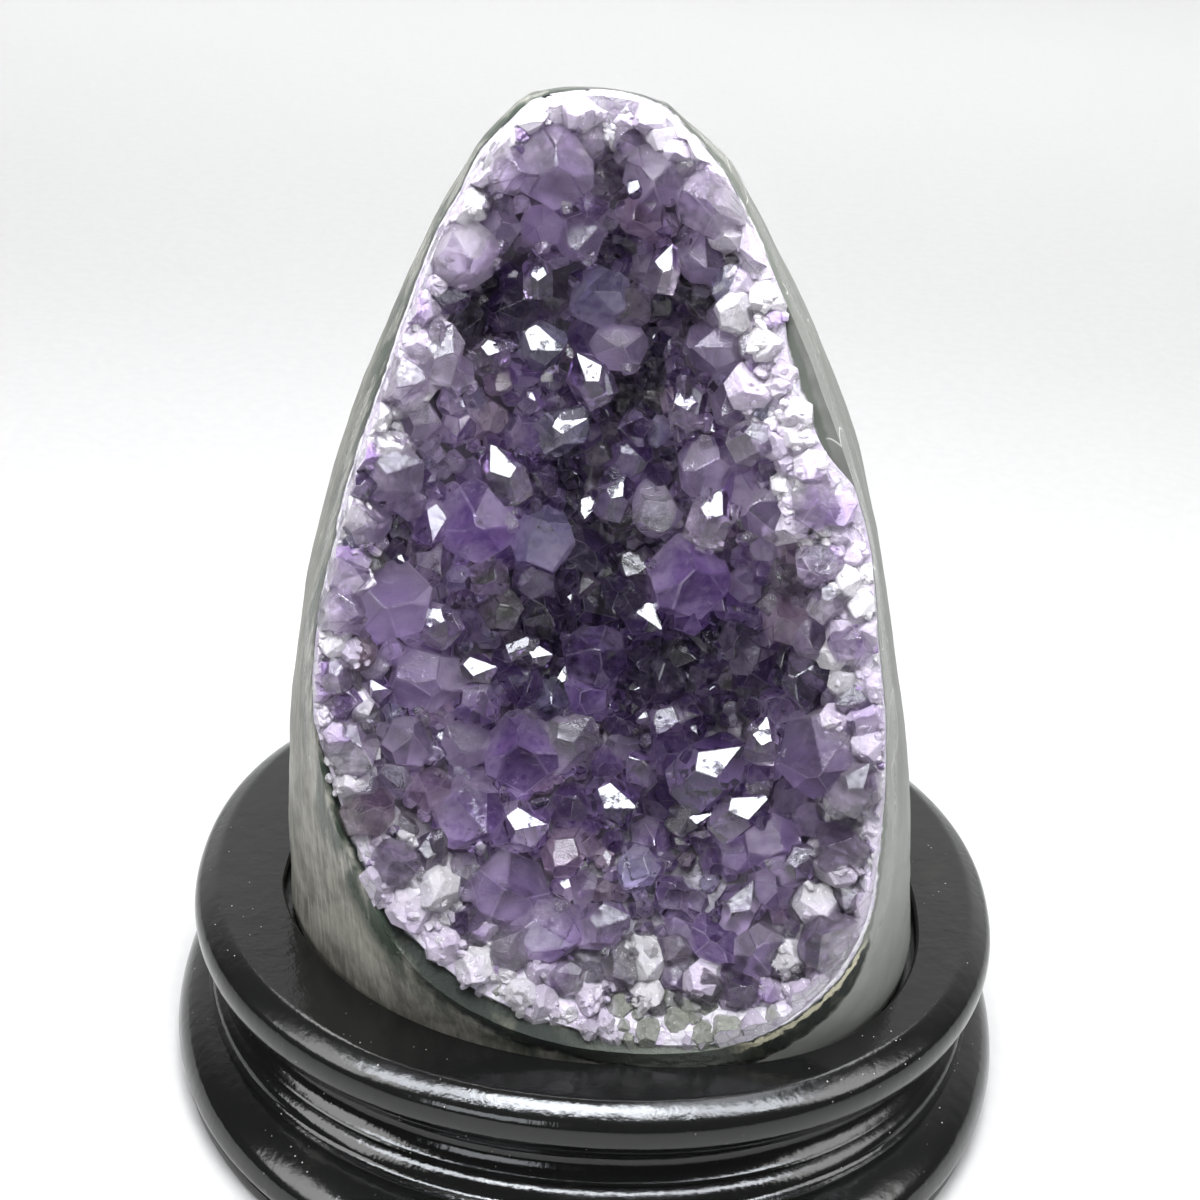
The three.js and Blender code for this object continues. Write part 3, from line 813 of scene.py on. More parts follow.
@dataclass(frozen=True)
class FrostedFinish:
    """White quartz full of tiny cracks: only a little light goes through it.

    Attributes:
        clearness: Share of the light that goes through the surface.
        lilac: Colour of the patches where some violet shows.
        ground: Colour where it is ground flat.
        cracks: Colour of the fine cracks in the ground part.
        shaded: Colour of the painted shade that its darker faces turn towards.
        grain: Colour of its dark grain.
    """

    clearness: float = 0.36
    lilac: Triple = (0.76, 0.67, 0.86)
    ground: Triple = (0.82, 0.795, 0.86)
    cracks: Triple = (0.42, 0.40, 0.46)
    shaded: Triple = (0.52, 0.47, 0.60)
    grain: Triple = (0.50, 0.47, 0.55)

    def make(self) -> Material:
        """Builds the material. A face with no frost at all is a ground one."""
        sheet = Sheet("frosted_quartz")
        body, tip = sheet.attribute("body", "Color"), sheet.attribute("tip", "Color")
        grown = sheet.mix(sheet.attribute("rise"), body, tip)
        clouds = sheet.band(sheet.noise(330.0, 5.0, Roughness=0.65), 0.4, 0.62)
        cracks = sheet.band(sheet.cells(380.0, "DISTANCE_TO_EDGE"), 0.09, 0.0, (0.0, 0.6))
        cut = sheet.mix(cracks, sheet.mix(clouds, self.ground, self.lilac), self.cracks)
        colour = sheet.mix(sheet.band(sheet.attribute("frost"), 0.02, 0.0), grown, cut)
        patches = sheet.band(sheet.noise(110.0, 3.0), 0.48, 0.66, (0.0, 0.7))
        colour = sheet.mix(patches, colour, sheet.mix(0.75, colour, self.lilac))
        # Painted shade: faces marked darker at random turn towards the shaded colour.
        shaded = sheet.band(sheet.attribute("painted_facet_light"), -0.2, -1.0, (0.0, 0.25))
        colour = sheet.mix(shaded, colour, self.shaded)
        grain = sheet.noise(900.0, 5.0, Roughness=0.7)
        colour = sheet.mix(sheet.band(grain, 0.46, 0.3, (0.0, 0.4)), colour, self.grain)
        sheet.principled(
            Base_Color=colour,
            Roughness=sheet.band(grain, 0.35, 0.7, (0.06, 0.3)),
            IOR=QUARTZ_IOR,
            Transmission_Weight=self.clearness,
        )
        lumps = sheet.noise(700.0, 5.0, Roughness=0.72, Distortion=1.5)
        pits = sheet.bump(sheet.cells(620.0), 0.0006, 0.45)
        sheet.principled(Normal=sheet.bump(lumps, 0.0007, 0.8, pits))
        return sheet.material


@dataclass(frozen=True)
class PaperFinish:
    """White paper under the object.

    Attributes:
        colour: Its colour.
        behind: Its colour just behind the object, where the lights reach it best.
        far: Its colour further back.
        fibre: Colour of its fibres.
    """

    colour: Triple = (0.445, 0.445, 0.445)
    behind: Triple = (0.42, 0.42, 0.42)
    far: Triple = (0.61, 0.61, 0.61)
    fibre: Triple = (0.9, 0.9, 0.9)

    def make(self) -> Material:
        """Builds the material."""
        sheet = Sheet("white_paper")
        fibre = sheet.band(sheet.noise(260.0, 4.0), 0.3, 0.7, (0.0, 0.03))
        _, y, _ = sheet.axes()
        swept = sheet.mix(sheet.band(y, 0.06, 0.24), self.colour, self.behind)
        swept = sheet.mix(sheet.band(y, 0.3, 0.8), swept, self.far)
        colour = sheet.mix(fibre, swept, self.fibre)
        sheet.principled(Base_Color=colour, Roughness=0.6, Specular_IOR_Level=0.2)
        return sheet.material


# --- Stand ---


@dataclass
class Stand:
    """Carved stand with a moulded edge and a pocket cut to the stone's outline.

    Attributes:
        outline: The stone's outline, which the pocket follows.
        half_width: Half width of the oval that the mouldings follow.
        half_depth: Half depth of that oval.
        roundness: Roundness of that oval.
        foot_extra: How much more the foot flares to the front and back.
        pocket_depth: Depth of the pocket.
        pocket_slack: Slack of the pocket round the stone.
        corners: Points round the stand.
    """

    outline: StoneOutline
    half_width: float = 64.5
    half_depth: float = 60.0
    roundness: float = 2.13
    foot_extra: float = 6.0
    pocket_depth: float = 4.0
    pocket_slack: float = 1.1
    corners: int = 160

    def profile(self) -> list[tuple[float, float]]:
        """Half section from the underside to the slab's top.

        Returns:
            Distances from the oval outwards, and heights below the stand's top.
        """
        points = [(5.0, -33.0), (6.3, -33.0)]

        def curve(middle: tuple[float, float], end: tuple[float, float], steps: int = 7) -> None:
            """Adds a quadratic curve from the last point.

            Args:
                middle: The point that it bends towards.
                end: Where it ends.
                steps: Number of points added.
            """
            start = points[-1]
            for k in range(1, steps + 1):
                t = k / steps
                points.append(
                    tuple(
                        (1 - t) ** 2 * a + 2 * t * (1 - t) * b + t * t * c
                        for a, b, c in zip(start, middle, end)
                    )
                )

        curve((8.1, -32.7), (7.7, -31.2), 5)
        curve((7.5, -30.3), (7.0, -30.0), 3)
        points.append((7.4, -29.6))
        curve((9.0, -28.4), (8.5, -26.4), 6)
        curve((7.9, -22.4), (4.6, -20.9), 12)
        curve((3.9, -20.6), (3.1, -20.5), 3)
        points += [(3.35, -20.25), (3.1, -20.0), (3.25, -19.8), (2.9, -19.55)]
        curve((3.1, -18.3), (1.7, -17.6), 8)
        points += [(1.5, -17.5), (1.75, -17.25), (1.5, -17.0), (1.6, -16.8), (1.2, -16.55)]
        curve((-1.8, -14.2), (0.6, -10.7), 9)
        points += [(1.2, -10.45), (2.75, -10.2)]
        curve((4.9, -8.6), (5.4, -5.8), 8)
        curve((5.7, -3.0), (4.3, -1.75), 9)
        curve((3.1, -0.85), (1.9, -0.25), 7)
        curve((1.4, 0.0), (0.8, 0.0), 4)
        return points

    def build(self) -> Object:
        """Models the stand: an oval plate is pulled up step by step, and the pocket is cut in.

        Returns:
            The finished object.
        """
        deselect_all()
        profile = self.profile()
        bpy.ops.mesh.primitive_circle_add(
            vertices=self.corners,
            radius=self.half_width * MM,
            fill_type="NGON",
            location=(0, 0, 0),
        )
        piece = bpy.context.object
        piece.name = piece.data.name = "lacquered_stand"
        half_width, half_depth = self.spread(*profile[0])
        for angle, corner in zip(turns(self.corners), piece.data.vertices):
            x, y = oval_point(angle, 1.0, 1.0, self.roundness)
            corner.co = Vector((x * half_width, y * half_depth, STAND_HEIGHT + profile[0][1])) * MM
        bpy.ops.object.mode_set(mode="EDIT")
        bpy.ops.mesh.select_all(action="SELECT")
        for (near, low), (far, high) in zip(profile, profile[1:]):
            was, now = self.spread(near, low), self.spread(far, high)
            bpy.ops.mesh.extrude_region_move(
                TRANSFORM_OT_translate={"value": (0.0, 0.0, (high - low) * MM)}
            )
            bpy.ops.transform.resize(value=(now[0] / was[0], now[1] / was[1], 1.0))
        bpy.ops.mesh.select_all(action="SELECT")
        bpy.ops.mesh.remove_doubles(threshold=1e-7)
        bpy.ops.mesh.normals_make_consistent(inside=False)
        bpy.ops.object.mode_set(mode="OBJECT")
        apply_boolean(piece, "DIFFERENCE", self.pocket())
        make_active(piece)
        bpy.ops.object.shade_smooth_by_angle(angle=radians(40))
        return piece

    def spread(self, beyond: float, height: float) -> tuple[float, float]:
        """Half width and half depth of the stand at a distance from the oval and a height."""
        flare = smoothstep(-height, 17, 25) * self.foot_extra
        return self.half_width + beyond, (self.half_depth + beyond) * (1 + flare / self.half_depth)

    def pocket(self) -> Object:
        """The pocket as a cutting tool, with a small round where it meets the top."""
        rings = []
        for extra, z in ((0.0, -self.pocket_depth), (0.0, -0.5), (0.12, -0.2), (0.42, 0.0), (0.42, 5.0)):
            slack = self.pocket_slack + extra
            points = [self.outline.point(angle, 0.0, 1.0, slack) for angle in turns(self.corners)]
            rings.append([(x, y, STAND_HEIGHT + z) for x, y, _ in points])
        return loft("pocket", rings)

    def dress(self, piece: Object) -> None:
        """Lacquers the stand and puts it in the place of its CAD node.

        Args:
            piece: The finished stand.
        """
        piece.data.materials.clear()
        piece.data.materials.append(LacquerFinish().make())
        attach(piece, BODY)
        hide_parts("stand")


# --- Stone ---


@dataclass
class Stone:
    """The ground piece of geode wall behind and round the crystals.

    Attributes:
        outline: Its outer shape.
        hollow: Its open face and hollow.
        corners: Points round it.
        rise: Height of one step of its surface.
    """

    outline: StoneOutline
    hollow: Hollow
    corners: int = 180
    rise: float = 1.6

    def body(self, grown: float = 0.0) -> Object:
        """The whole stone with nothing cut out of it.

        Args:
            grown: How much bigger than the stone it is made.

        Returns:
            A closed object.
        """
        outline = self.outline
        last = outline.levels[-1]
        heights, z = [], outline.levels[0]
        while z < last:
            heights.append(z)
            z += self.rise
        levels = [(1.0, z) for z in (*heights, last)]
        levels += [(0.86, last + 1.35), (0.6, last + 2.3), (0.3, last + 2.9), (1e-4, outline.top)]
        rings = [[self.shifted(a, z, share, grown) for a in turns(self.corners)] for share, z in levels]
        return loft("ground_stone", rings)

    def shifted(self, angle: float, z: float, share: float, grown: float) -> tuple:
        """A point of the surface with the stone's small ground-down unevenness.

        Args:
            angle: Direction from the middle.
            z: Height above the stand's top.
            share: Share of the way out, less than 1 only over the crown.
            grown: Clearance.

        Returns:
            A point in the part's frame.
        """
        x, y, _ = self.outline.point(angle, min(z, self.outline.levels[-1]), share, grown)
        dent = 0.35 * noise(Vector((x, y, z)) * 0.07) + 0.12 * noise(Vector((x, y, z)) * 0.3)
        middle = Course(self.outline.levels, self.outline.sections).at(z)
        outwards = Vector((x - middle[0], y - middle[2])).normalized()
        return (
            x + outwards.x * dent * share,
            y + outwards.y * dent * share,
            STAND_HEIGHT + z + (0.0 if z < 0 else 0.1 * dent),
        )

    def build(self) -> Object:
        """Models the stone: its body with the hollow cut out, and its layers marked.

        Returns:
            The finished object.
        """
        piece = self.body()
        apply_boolean(piece, "DIFFERENCE", self.hollow.space())
        self.mark_layers(piece)
        make_active(piece)
        bpy.ops.object.shade_smooth_by_angle(angle=radians(35))
        return piece

    def mark_layers(self, piece: Object) -> None:
        """Stores at each vertex its distance from the crystal layer, in millimetres.

        Args:
            piece: The finished stone.
        """
        hollow, faces, count = self.hollow, [], 96
        shares = (1e-4, 0.3, 0.5, 0.65, 0.78, 0.88, 0.95, 1.0)
        points = [point for share in shares for point in hollow.ring(share, 0.0, hollow.wall(share), count)]
        for level in range(len(shares) - 1):
            for i in range(count):
                j = (i + 1) % count
                faces.append((level * count + i, level * count + j, (level + 1) * count + j))
                faces.append((level * count + i, (level + 1) * count + j, (level + 1) * count + i))
        wall = BVHTree.FromPolygons(points, faces)
        marks = piece.data.attributes.new("layer", "FLOAT", "POINT")
        for vertex, mark in zip(piece.data.vertices, marks.data):
            mark.value = wall.find_nearest(vertex.co / MM)[3]

    def dress(self, piece: Object) -> None:
        """Colours the stone and puts it in the place of its CAD node.

        Args:
            piece: The finished stone.
        """
        piece.data.materials.clear()
        piece.data.materials.append(StoneFinish().make())
        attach(piece, BODY)
        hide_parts("rock_matrix")


# --- Crystals ---


@dataclass(frozen=True)
class Habit:
    """One way a quartz crystal ends: a six-sided prism cut by six sloping end faces.

    Attributes:
        cuts: How far each end face stays from the shoulder's middle, as a share of the usual.
        slope: Angle between the axis and the normal of an end face, in degrees.
        root: Length of the prism below its shoulder, in radii.
        bevel: Width of the worn edges, in radii.
    """

    cuts: tuple[float, ...]
    slope: float = 51.8
    root: float = 2.4
    bevel: float = 0.035

    def facing(self, index: int) -> Vector:
        """The way one end face looks, on the upright crystal."""
        angle, slope = radians(60 * index + 30), radians(self.slope)
        return Vector((sin(slope) * cos(angle), sin(slope) * sin(angle), cos(slope)))

    def model(self, name: str) -> Object:
        """Models one crystal of radius 1, upright, with its shoulder at the origin.

        Args:
            name: Name of the object.

        Returns:
            The object, which copies are made from.
        """
        deselect_all()
        bpy.ops.mesh.primitive_cylinder_add(
            vertices=6, radius=1.0, depth=self.root + 2.0, location=(0, 0, 1.0 - self.root / 2)
        )
        piece = bpy.context.object
        piece.name = piece.data.name = name
        bpy.ops.object.transform_apply(location=True, rotation=True, scale=True)
        bpy.ops.object.mode_set(mode="EDIT")
        for index, cut in enumerate(self.cuts):
            normal = self.facing(index)
            bpy.ops.mesh.select_all(action="SELECT")
            bpy.ops.mesh.bisect(
                plane_co=normal * 0.68 * cut,
                plane_no=normal,
                use_fill=True,
                clear_outer=True,
            )
        bpy.ops.mesh.select_all(action="SELECT")
        bpy.ops.mesh.remove_doubles(threshold=1e-4)
        bpy.ops.object.mode_set(mode="OBJECT")
        worn = piece.modifiers.new("worn_edges", "BEVEL")
        worn.width, worn.segments = self.bevel, 1
        worn.limit_method, worn.angle_limit = "ANGLE", radians(20)
        bpy.ops.object.modifier_apply(modifier=worn.name)
        self.mark(piece.data)
        return piece

    def mark(self, mesh: Mesh) -> None:
        """Stores how high each corner is, which faces are worn edges, and a painted lightness for each face.

        Args:
            mesh: The crystal's mesh.
        """
        dice = Random(repr(self.cuts))
        # Painted light and shade: each face gets a random lightness in place of reflection and refraction.
        painted_facet_light = mesh.attributes.new("painted_facet_light", "FLOAT", "FACE")
        painted_facet_light.data.foreach_set("value", [dice.uniform(-1, 1) for _ in mesh.polygons])
        heights = [v.co.z for v in mesh.vertices]
        top = max(heights)
        rise = mesh.attributes.new("rise", "FLOAT", "CORNER")
        # Worn bevel faces are marked for a painted highlight.
        worn_edge_highlight = mesh.attributes.new("worn_edge_highlight", "FLOAT", "CORNER")
        for face in mesh.polygons:
            worn = 1.0 if face.area < 0.12 else 0.0
            for loop in face.loop_indices:
                height = heights[mesh.loops[loop].vertex_index]
                rise.data[loop].value = smoothstep(height, -1.1, top)
                worn_edge_highlight.data[loop].value = worn


def paint(mesh: Mesh, tone: Tone, strength: float) -> None:
    """Gives a whole mesh one tone, and marks its faces as grown crystal.

    Args:
        mesh: The mesh.
        tone: Its tone.
        strength: How light it is against the tone's own colours.
    """
    body, tip, frost = tone.value
    for name, colour in (("body", body), ("tip", tip)):
        layer = mesh.attributes.new(name, "FLOAT_COLOR", "CORNER")
        shade = [min(1.0, c * strength) for c in colour] + [1.0]
        layer.data.foreach_set("color", shade * len(mesh.loops))
    layer = mesh.attributes.new("frost", "FLOAT", "CORNER")
    layer.data.foreach_set("value", [frost] * len(mesh.loops))
    layer = mesh.attributes.new("grown", "INT", "FACE")
    layer.data.foreach_set("value", [1] * len(mesh.polygons))


@dataclass
class Crystal:
    """One crystal's place and look.

    Attributes:
        u: Distance across the face of the middle of its head.
        w: Distance up the face.
        h: Distance out of the face.
        radius: Its radius.
        axis: The way it points, in face coordinates.
        tone: Its colour.
        spin: Turn about its axis, in radians.
        habit: Which of the modelled crystals it copies.
        glint: Whether its largest end face is turned to the light.
        strength: How light it is against its tone's own colours.
    """

    u: float
    w: float
    h: float
    radius: float
    axis: Vector
    tone: Tone
    spin: float = 0.0
    habit: int = 0
    glint: bool = False
    strength: float = 1.0

    def crowds(self, u: float, w: float, radius: float, share: float = 0.62) -> bool:
        """Whether one at a spot stands closer to this one than a share of both their radii."""
        return hypot(self.u - u, self.w - w) < share * (self.radius + radius)


@dataclass
class CrystalBench:
    """Models the crystals' ends once each, and grows copies of them in their places.

    Attributes:
        hollow: The hollow that they stand in.
        even: How many of the ends are even.
        lopsided: How many are lopsided.
        kites: Ends with one large face, for the crystals turned to the light.
        mirror: The way a face looks to mirror the overhead light, and how that changes with each
            millimetre across the face and up it.
        shade: Painted light from above: how light a crystal low on the face is, how much lighter one
            high up is, and the heights between which that grows.
        shy: How far the trimmed crystals stay inside the stone's sides.
        seed: Start of the random numbers.
        habits: The ends, once they are chosen: the even ones, the lopsided ones and the kites.
        models: The modelled crystal of each.
    """

    hollow: Hollow
    even: int = 5
    lopsided: int = 11
    kites: tuple[tuple[float, ...], ...] = (
        (0.86, 0.93, 1.33, 1.1, 0.98, 0.88),
        (0.75, 0.81, 1.3, 1.29, 1.29, 0.95),
        (0.73, 0.97, 1.26, 1.23, 0.99, 0.74),
        (0.79, 1.06, 1.2, 1.08, 1.29, 0.78),
        (0.81, 0.79, 0.86, 1.24, 1.3, 1.1),
        (0.72, 0.81, 1.05, 1.05, 1.29, 0.72),
    )
    mirror: tuple[tuple[float, ...], ...] = ((0.0, 0.598, 0.807), (-0.0022, 0.0, 0.0), (0.0, -0.0016, 0.0009))
    shade: tuple[float, float, float, float] = (0.60, 0.46, 30, 85)
    shy: float = 0.08
    seed: int = 11
    habits: list[Habit] = field(default_factory=list)
    models: list[Object] = field(default_factory=list)

    def open(self) -> None:
        """Models each of the ends."""
        dice = Random(self.seed)
        for _ in range(self.even):
            large, small = dice.uniform(0.8, 0.9), dice.uniform(0.98, 1.12)
            self.habits.append(Habit(tuple(large if i % 2 == 0 else small for i in range(6))))
        for number in range(self.lopsided):
            cuts = tuple(dice.uniform(0.76, 1.22) for _ in range(6))
            self.habits.append(Habit((0.62, *cuts[1:]) if number % 3 == 0 else cuts))
        self.habits += [Habit(cuts, slope=46.0, root=1.5, bevel=0.02) for cuts in self.kites]
        self.models = [habit.model(f"habit_{i}") for i, habit in enumerate(self.habits)]

    def close(self) -> None:
        """Puts the models away, once all the copies are made."""
        for model in self.models:
            bpy.data.objects.remove(model)
        self.models = []

    def any_habit(self, dice: Random) -> int:
        """Number of one of the ends that aren't kites."""
        return dice.randrange(self.even + self.lopsided)

    def any_turn(self, dice: Random) -> tuple[float, int]:
        """A turn about the axis, and the number of one of the ends that aren't kites."""
        return dice.uniform(0, pi / 3), self.any_habit(dice)

    def any_kite(self, dice: Random) -> int:
        """Number of one of the ends with one large face."""
        return self.even + self.lopsided + dice.randrange(len(self.kites))

    def grow(self, crystals: list[Crystal], name: str) -> Collection:
        """Copies crystals to their places and gives them their tones.

        Args:
            crystals: The crystals.
            name: Name of the group that they go in.

        Returns:
            The group.
        """
        group = bpy.data.collections.new(name)
        bpy.context.scene.collection.children.link(group)
        face = Matrix.Scale(MM, 4) @ Matrix.Translation((0, 0, STAND_HEIGHT)) @ self.hollow.matrix()
        low, more, start, end = self.shade
        for number, crystal in enumerate(crystals):
            if crystal.glint:
                turn = self.glint_turn(crystal)
            else:
                turn = Vector((0, 0, 1)).rotation_difference(crystal.axis)
                turn = turn @ Quaternion((0, 0, 1), crystal.spin)
            mesh = self.models[crystal.habit].data.copy()
            mesh.transform(
                face
                @ Matrix.Translation((crystal.u, crystal.w, crystal.h))
                @ turn.to_matrix().to_4x4()
                @ Matrix.Scale(crystal.radius, 4)
            )
            # Painted light: crystals higher on the face are painted lighter, as if lit more from above.
            painted_height_light = low + more * smoothstep(crystal.w, start, end)
            paint(mesh, crystal.tone, crystal.strength * painted_height_light)
            group.objects.link(bpy.data.objects.new(f"{name}_{number}", mesh))
        return group

    def glint_turn(self, crystal: Crystal) -> Quaternion:
        """The turn that points a crystal's largest end face at the light, near its own axis.

        Args:
            crystal: The crystal.

        Returns:
            The turn from the upright model.
        """
        u, w = crystal.u, crystal.w
        facing = Vector([at + u * across + w * up for at, across, up in zip(*self.mirror)]).normalized()
        turn = self.habits[crystal.habit].facing(0).rotation_difference(facing)
        start = turn @ Vector((0, 0, 1))
        start = (start - facing * start.dot(facing)).normalized()
        end = (crystal.axis - facing * crystal.axis.dot(facing)).normalized()
        swing = start.angle(end) * (1 if start.cross(end).dot(facing) > 0 else -1)
        return Quaternion(facing, swing + crystal.spin) @ turn

    @staticmethod
    def above_stand() -> Object:
        """A block over the stand, which keeps the crystals clear of it."""
        deselect_all()
        bpy.ops.mesh.primitive_cube_add(size=0.3, location=(0, 0, (STAND_HEIGHT + 0.5) * MM + 0.15))
        bpy.ops.object.transform_apply(location=True, rotation=True, scale=True)
        return bpy.context.object

    def trim(self, piece: Object, stone: Stone, tone: Tone) -> None:
        """Cuts a crystal mass off flush with the stone's ground sides, and clear of the stand.

        Args:
            piece: The crystal mass.
            stone: The stone.
            tone: Tone of the cut faces.
        """
        for tool in (stone.body(-self.shy), self.above_stand()):
            paint(tool.data, tone, 1.0)
            apply_boolean(piece, "INTERSECT", tool)
        for face in piece.data.polygons:
            face.use_smooth = False


def blank_marks(mesh: Mesh) -> None:
    """Adds the attributes that grown crystals carry, all at nought, to a mesh they will join.

    Args:
        mesh: The mesh.
    """
    for name in ("body", "tip"):
        mesh.attributes.new(name, "FLOAT_COLOR", "CORNER")
    for name in ("rise", "worn_edge_highlight", "frost"):
        mesh.attributes.new(name, "FLOAT", "CORNER")
    mesh.attributes.new("grown", "INT", "FACE")


@dataclass
class Druse:
    """The quartz bed that lines the hollow, and the amethyst crystals grown on it as one mass.

    Attributes:
        hollow: The hollow that it lines.
        stone: The stone, which trims it flush at the rim.
        bench: Where its crystals are modelled.
        heads: The large crystals: across, up, radius and tone.
        glints: Crystals with one end face turned to the light: across, up, radius, tone and the way
            that face points, in degrees.
        nests: Dark hollows between them, where shade is painted in: across, up and radius.
        passes: How the rest is filled in: least and largest radius, and how many spots are tried.
        frosted: The crystals that are frosted all through, which grow apart from the rest.
        seed: Start of the random numbers.
    """

    hollow: Hollow
    stone: Stone
    bench: CrystalBench
    heads: tuple[tuple, ...] = (
        (-13.6, 135.3, 5.5, Tone.VIOLET), (-20.1, 134.1, 3.3, Tone.VIOLET),
        (-26.0, 121.5, 4.8, Tone.VIOLET), (8.1, 131.9, 4.2, Tone.PALE),
        (1.1, 135.3, 4.4, Tone.VIOLET), (-0.7, 129.2, 3.1, Tone.ROSE),
        (-9.8, 125.0, 3.4, Tone.VIOLET), (-15.4, 126.7, 3.0, Tone.VIOLET),
        (-21.2, 126.2, 2.7, Tone.VIOLET), (-6.4, 117.1, 4.2, Tone.STEEL),
        (-2.3, 109.9, 4.0, Tone.GLASS), (-26.8, 104.1, 2.7, Tone.VIOLET),
        (11.6, 110.9, 3.9, Tone.PALE), (9.9, 123.0, 3.3, Tone.VIOLET),
        (-22.7, 81.2, 5.8, Tone.VIOLET), (-12.7, 79.5, 4.7, Tone.STEEL),
        (-34.6, 68.9, 5.7, Tone.VIOLET), (-40.7, 67.3, 3.3, Tone.VIOLET),
        (-38.2, 81.3, 3.5, Tone.VIOLET), (11.2, 75.0, 5.9, Tone.VIOLET),
        (11.4, 91.7, 4.2, Tone.PALE), (5.9, 83.2, 3.4, Tone.GLASS),
        (21.6, 85.8, 3.7, Tone.VIOLET), (28.8, 88.4, 3.4, Tone.PALE),
        (30.4, 78.5, 3.5, Tone.VIOLET), (26.0, 69.8, 3.5, Tone.ROSE),
        (-30.8, 56.3, 4.5, Tone.VIOLET), (-13.5, 45.4, 5.7, Tone.VIOLET),
        (33.0, 49.8, 6.0, Tone.VIOLET), (-37.5, 45.7, 4.0, Tone.VIOLET),
        (-30.7, 46.7, 3.6, Tone.VIOLET), (-20.2, 34.5, 5.0, Tone.VIOLET),
        (-13.1, 24.1, 5.9, Tone.VIOLET), (-5.9, 18.0, 5.0, Tone.VIOLET),
        (-31.2, 29.0, 3.5, Tone.PALE),
        (4.2, 13.6, 3.0, Tone.GLASS), (8.6, 14.4, 2.9, Tone.FROST), (19.0, 19.1, 3.9, Tone.VIOLET),
        (27.3, 34.3, 4.2, Tone.VIOLET), (36.4, 35.6, 4.1, Tone.VIOLET),
        (35.8, 21.7, 4.6, Tone.PALE), (26.0, 17.9, 3.9, Tone.VIOLET),
        (-2.8, 61.1, 4.7, Tone.VIOLET), (-26.9, 39.3, 3.1, Tone.ROSE),
        (-6.0, 29.0, 3.1, Tone.ROSE), (7.5, 102.2, 3.1, Tone.ROSE),
        (-1.1, 115.2, 3.0, Tone.SMOKE), (-18.1, 67.4, 3.1, Tone.SMOKE),
        (-20.0, 72.1, 3.1, Tone.SMOKE),
    )  # fmt: skip
    glints: tuple[tuple, ...] = (
        (-34.0, 89.3, 4.6, Tone.VIOLET, 0), (-19.2, 90.2, 3.8, Tone.VIOLET, 110),
        (-28.8, 108.1, 3.6, Tone.PALE, 80), (-13.7, 109.1, 4.0, Tone.STEEL, -20),
        (-7.3, 105.4, 3.4, Tone.VIOLET, 130), (-9.1, 96.6, 3.2, Tone.STEEL, 10),
        (14.1, 86.0, 3.8, Tone.VIOLET, 80), (20.4, 98.0, 3.4, Tone.VIOLET, 10),
        (-5.1, 48.5, 4.2, Tone.GLASS, 40), (18.4, 46.0, 5.5, Tone.VIOLET, 35),
        (24.6, 51.2, 2.9, Tone.VIOLET, 85), (2.5, 38.1, 4.0, Tone.VIOLET, -30),
        (-11.1, 33.9, 4.2, Tone.VIOLET, 0), (22.9, 39.3, 4.0, Tone.VIOLET, 40),
        (22.8, 25.3, 3.6, Tone.VIOLET, 70), (2.5, 20.0, 3.8, Tone.VIOLET, 10),
        (31.7, 32.3, 3.1, Tone.VIOLET, 20), (38.5, 47.3, 3.4, Tone.PALE, 60),
        (-29.3, 65.9, 3.3, Tone.VIOLET, 150), (-11.4, 60.6, 2.5, Tone.DEEP, 0),
        (4.0, 122.7, 2.8, Tone.VIOLET, 80), (-15.5, 120.2, 2.6, Tone.DEEP, 90),
        (32.5, 75.0, 2.8, Tone.VIOLET, 50), (-21.0, 107.5, 2.8, Tone.VIOLET, 0),
        (8.2, 102.5, 3.1, Tone.VIOLET, 95), (-1.0, 87.3, 2.9, Tone.DEEP, 75),
        (-26.3, 30.7, 2.5, Tone.VIOLET, 90), (15.5, 36.8, 2.5, Tone.DEEP, 10),
    )  # fmt: skip
    # Spots where shade is painted into the crystals and the bed.
    nests: tuple[Triple, ...] = (
        (-21, 112, 5), (-3, 123, 3.5), (-24, 117, 3.5), (-16, 117, 4), (-4, 90, 5), (1, 102, 4.5),
        (-7, 68, 7), (0, 72, 6), (-18, 71, 5), (12, 62, 5.5), (21, 61, 5.5), (4, 64, 6), (-34, 77, 4),
        (-37, 83, 4), (29, 61, 4), (-2, 60, 6), (-9, 76, 5), (12, 78, 4), (11, 39, 4),
        (-7, 110, 4), (8, 117, 4), (2, 110, 3.5),
    )  # fmt: skip
    passes: tuple[tuple[float, float, int], ...] = ((2.6, 3.8, 700), (1.7, 2.6, 2200), (1.1, 1.7, 6500))
    frosted: list[Crystal] = field(default_factory=list)
    seed: int = 7

    def build(self) -> Object:
        """Models the bed and the crystals, joins them and trims them to the stone.

        Returns:
            The finished object.
        """
        dice = Random(self.seed)
        crystals = self.large(dice)
        crystals += self.satellites(dice, crystals)
        crystals += self.infill(dice, crystals)
        self.frosted += [crystal for crystal in crystals if crystal.tone is Tone.FROST]
        crystals = [crystal for crystal in crystals if crystal.tone is not Tone.FROST]
        LOG.info("druse: %d crystals", len(crystals))
        piece = self.bed()
        apply_boolean(piece, "UNION", self.bench.grow(crystals, "crystal"))
        self.bench.trim(piece, self.stone, Tone.PALE)
        return piece

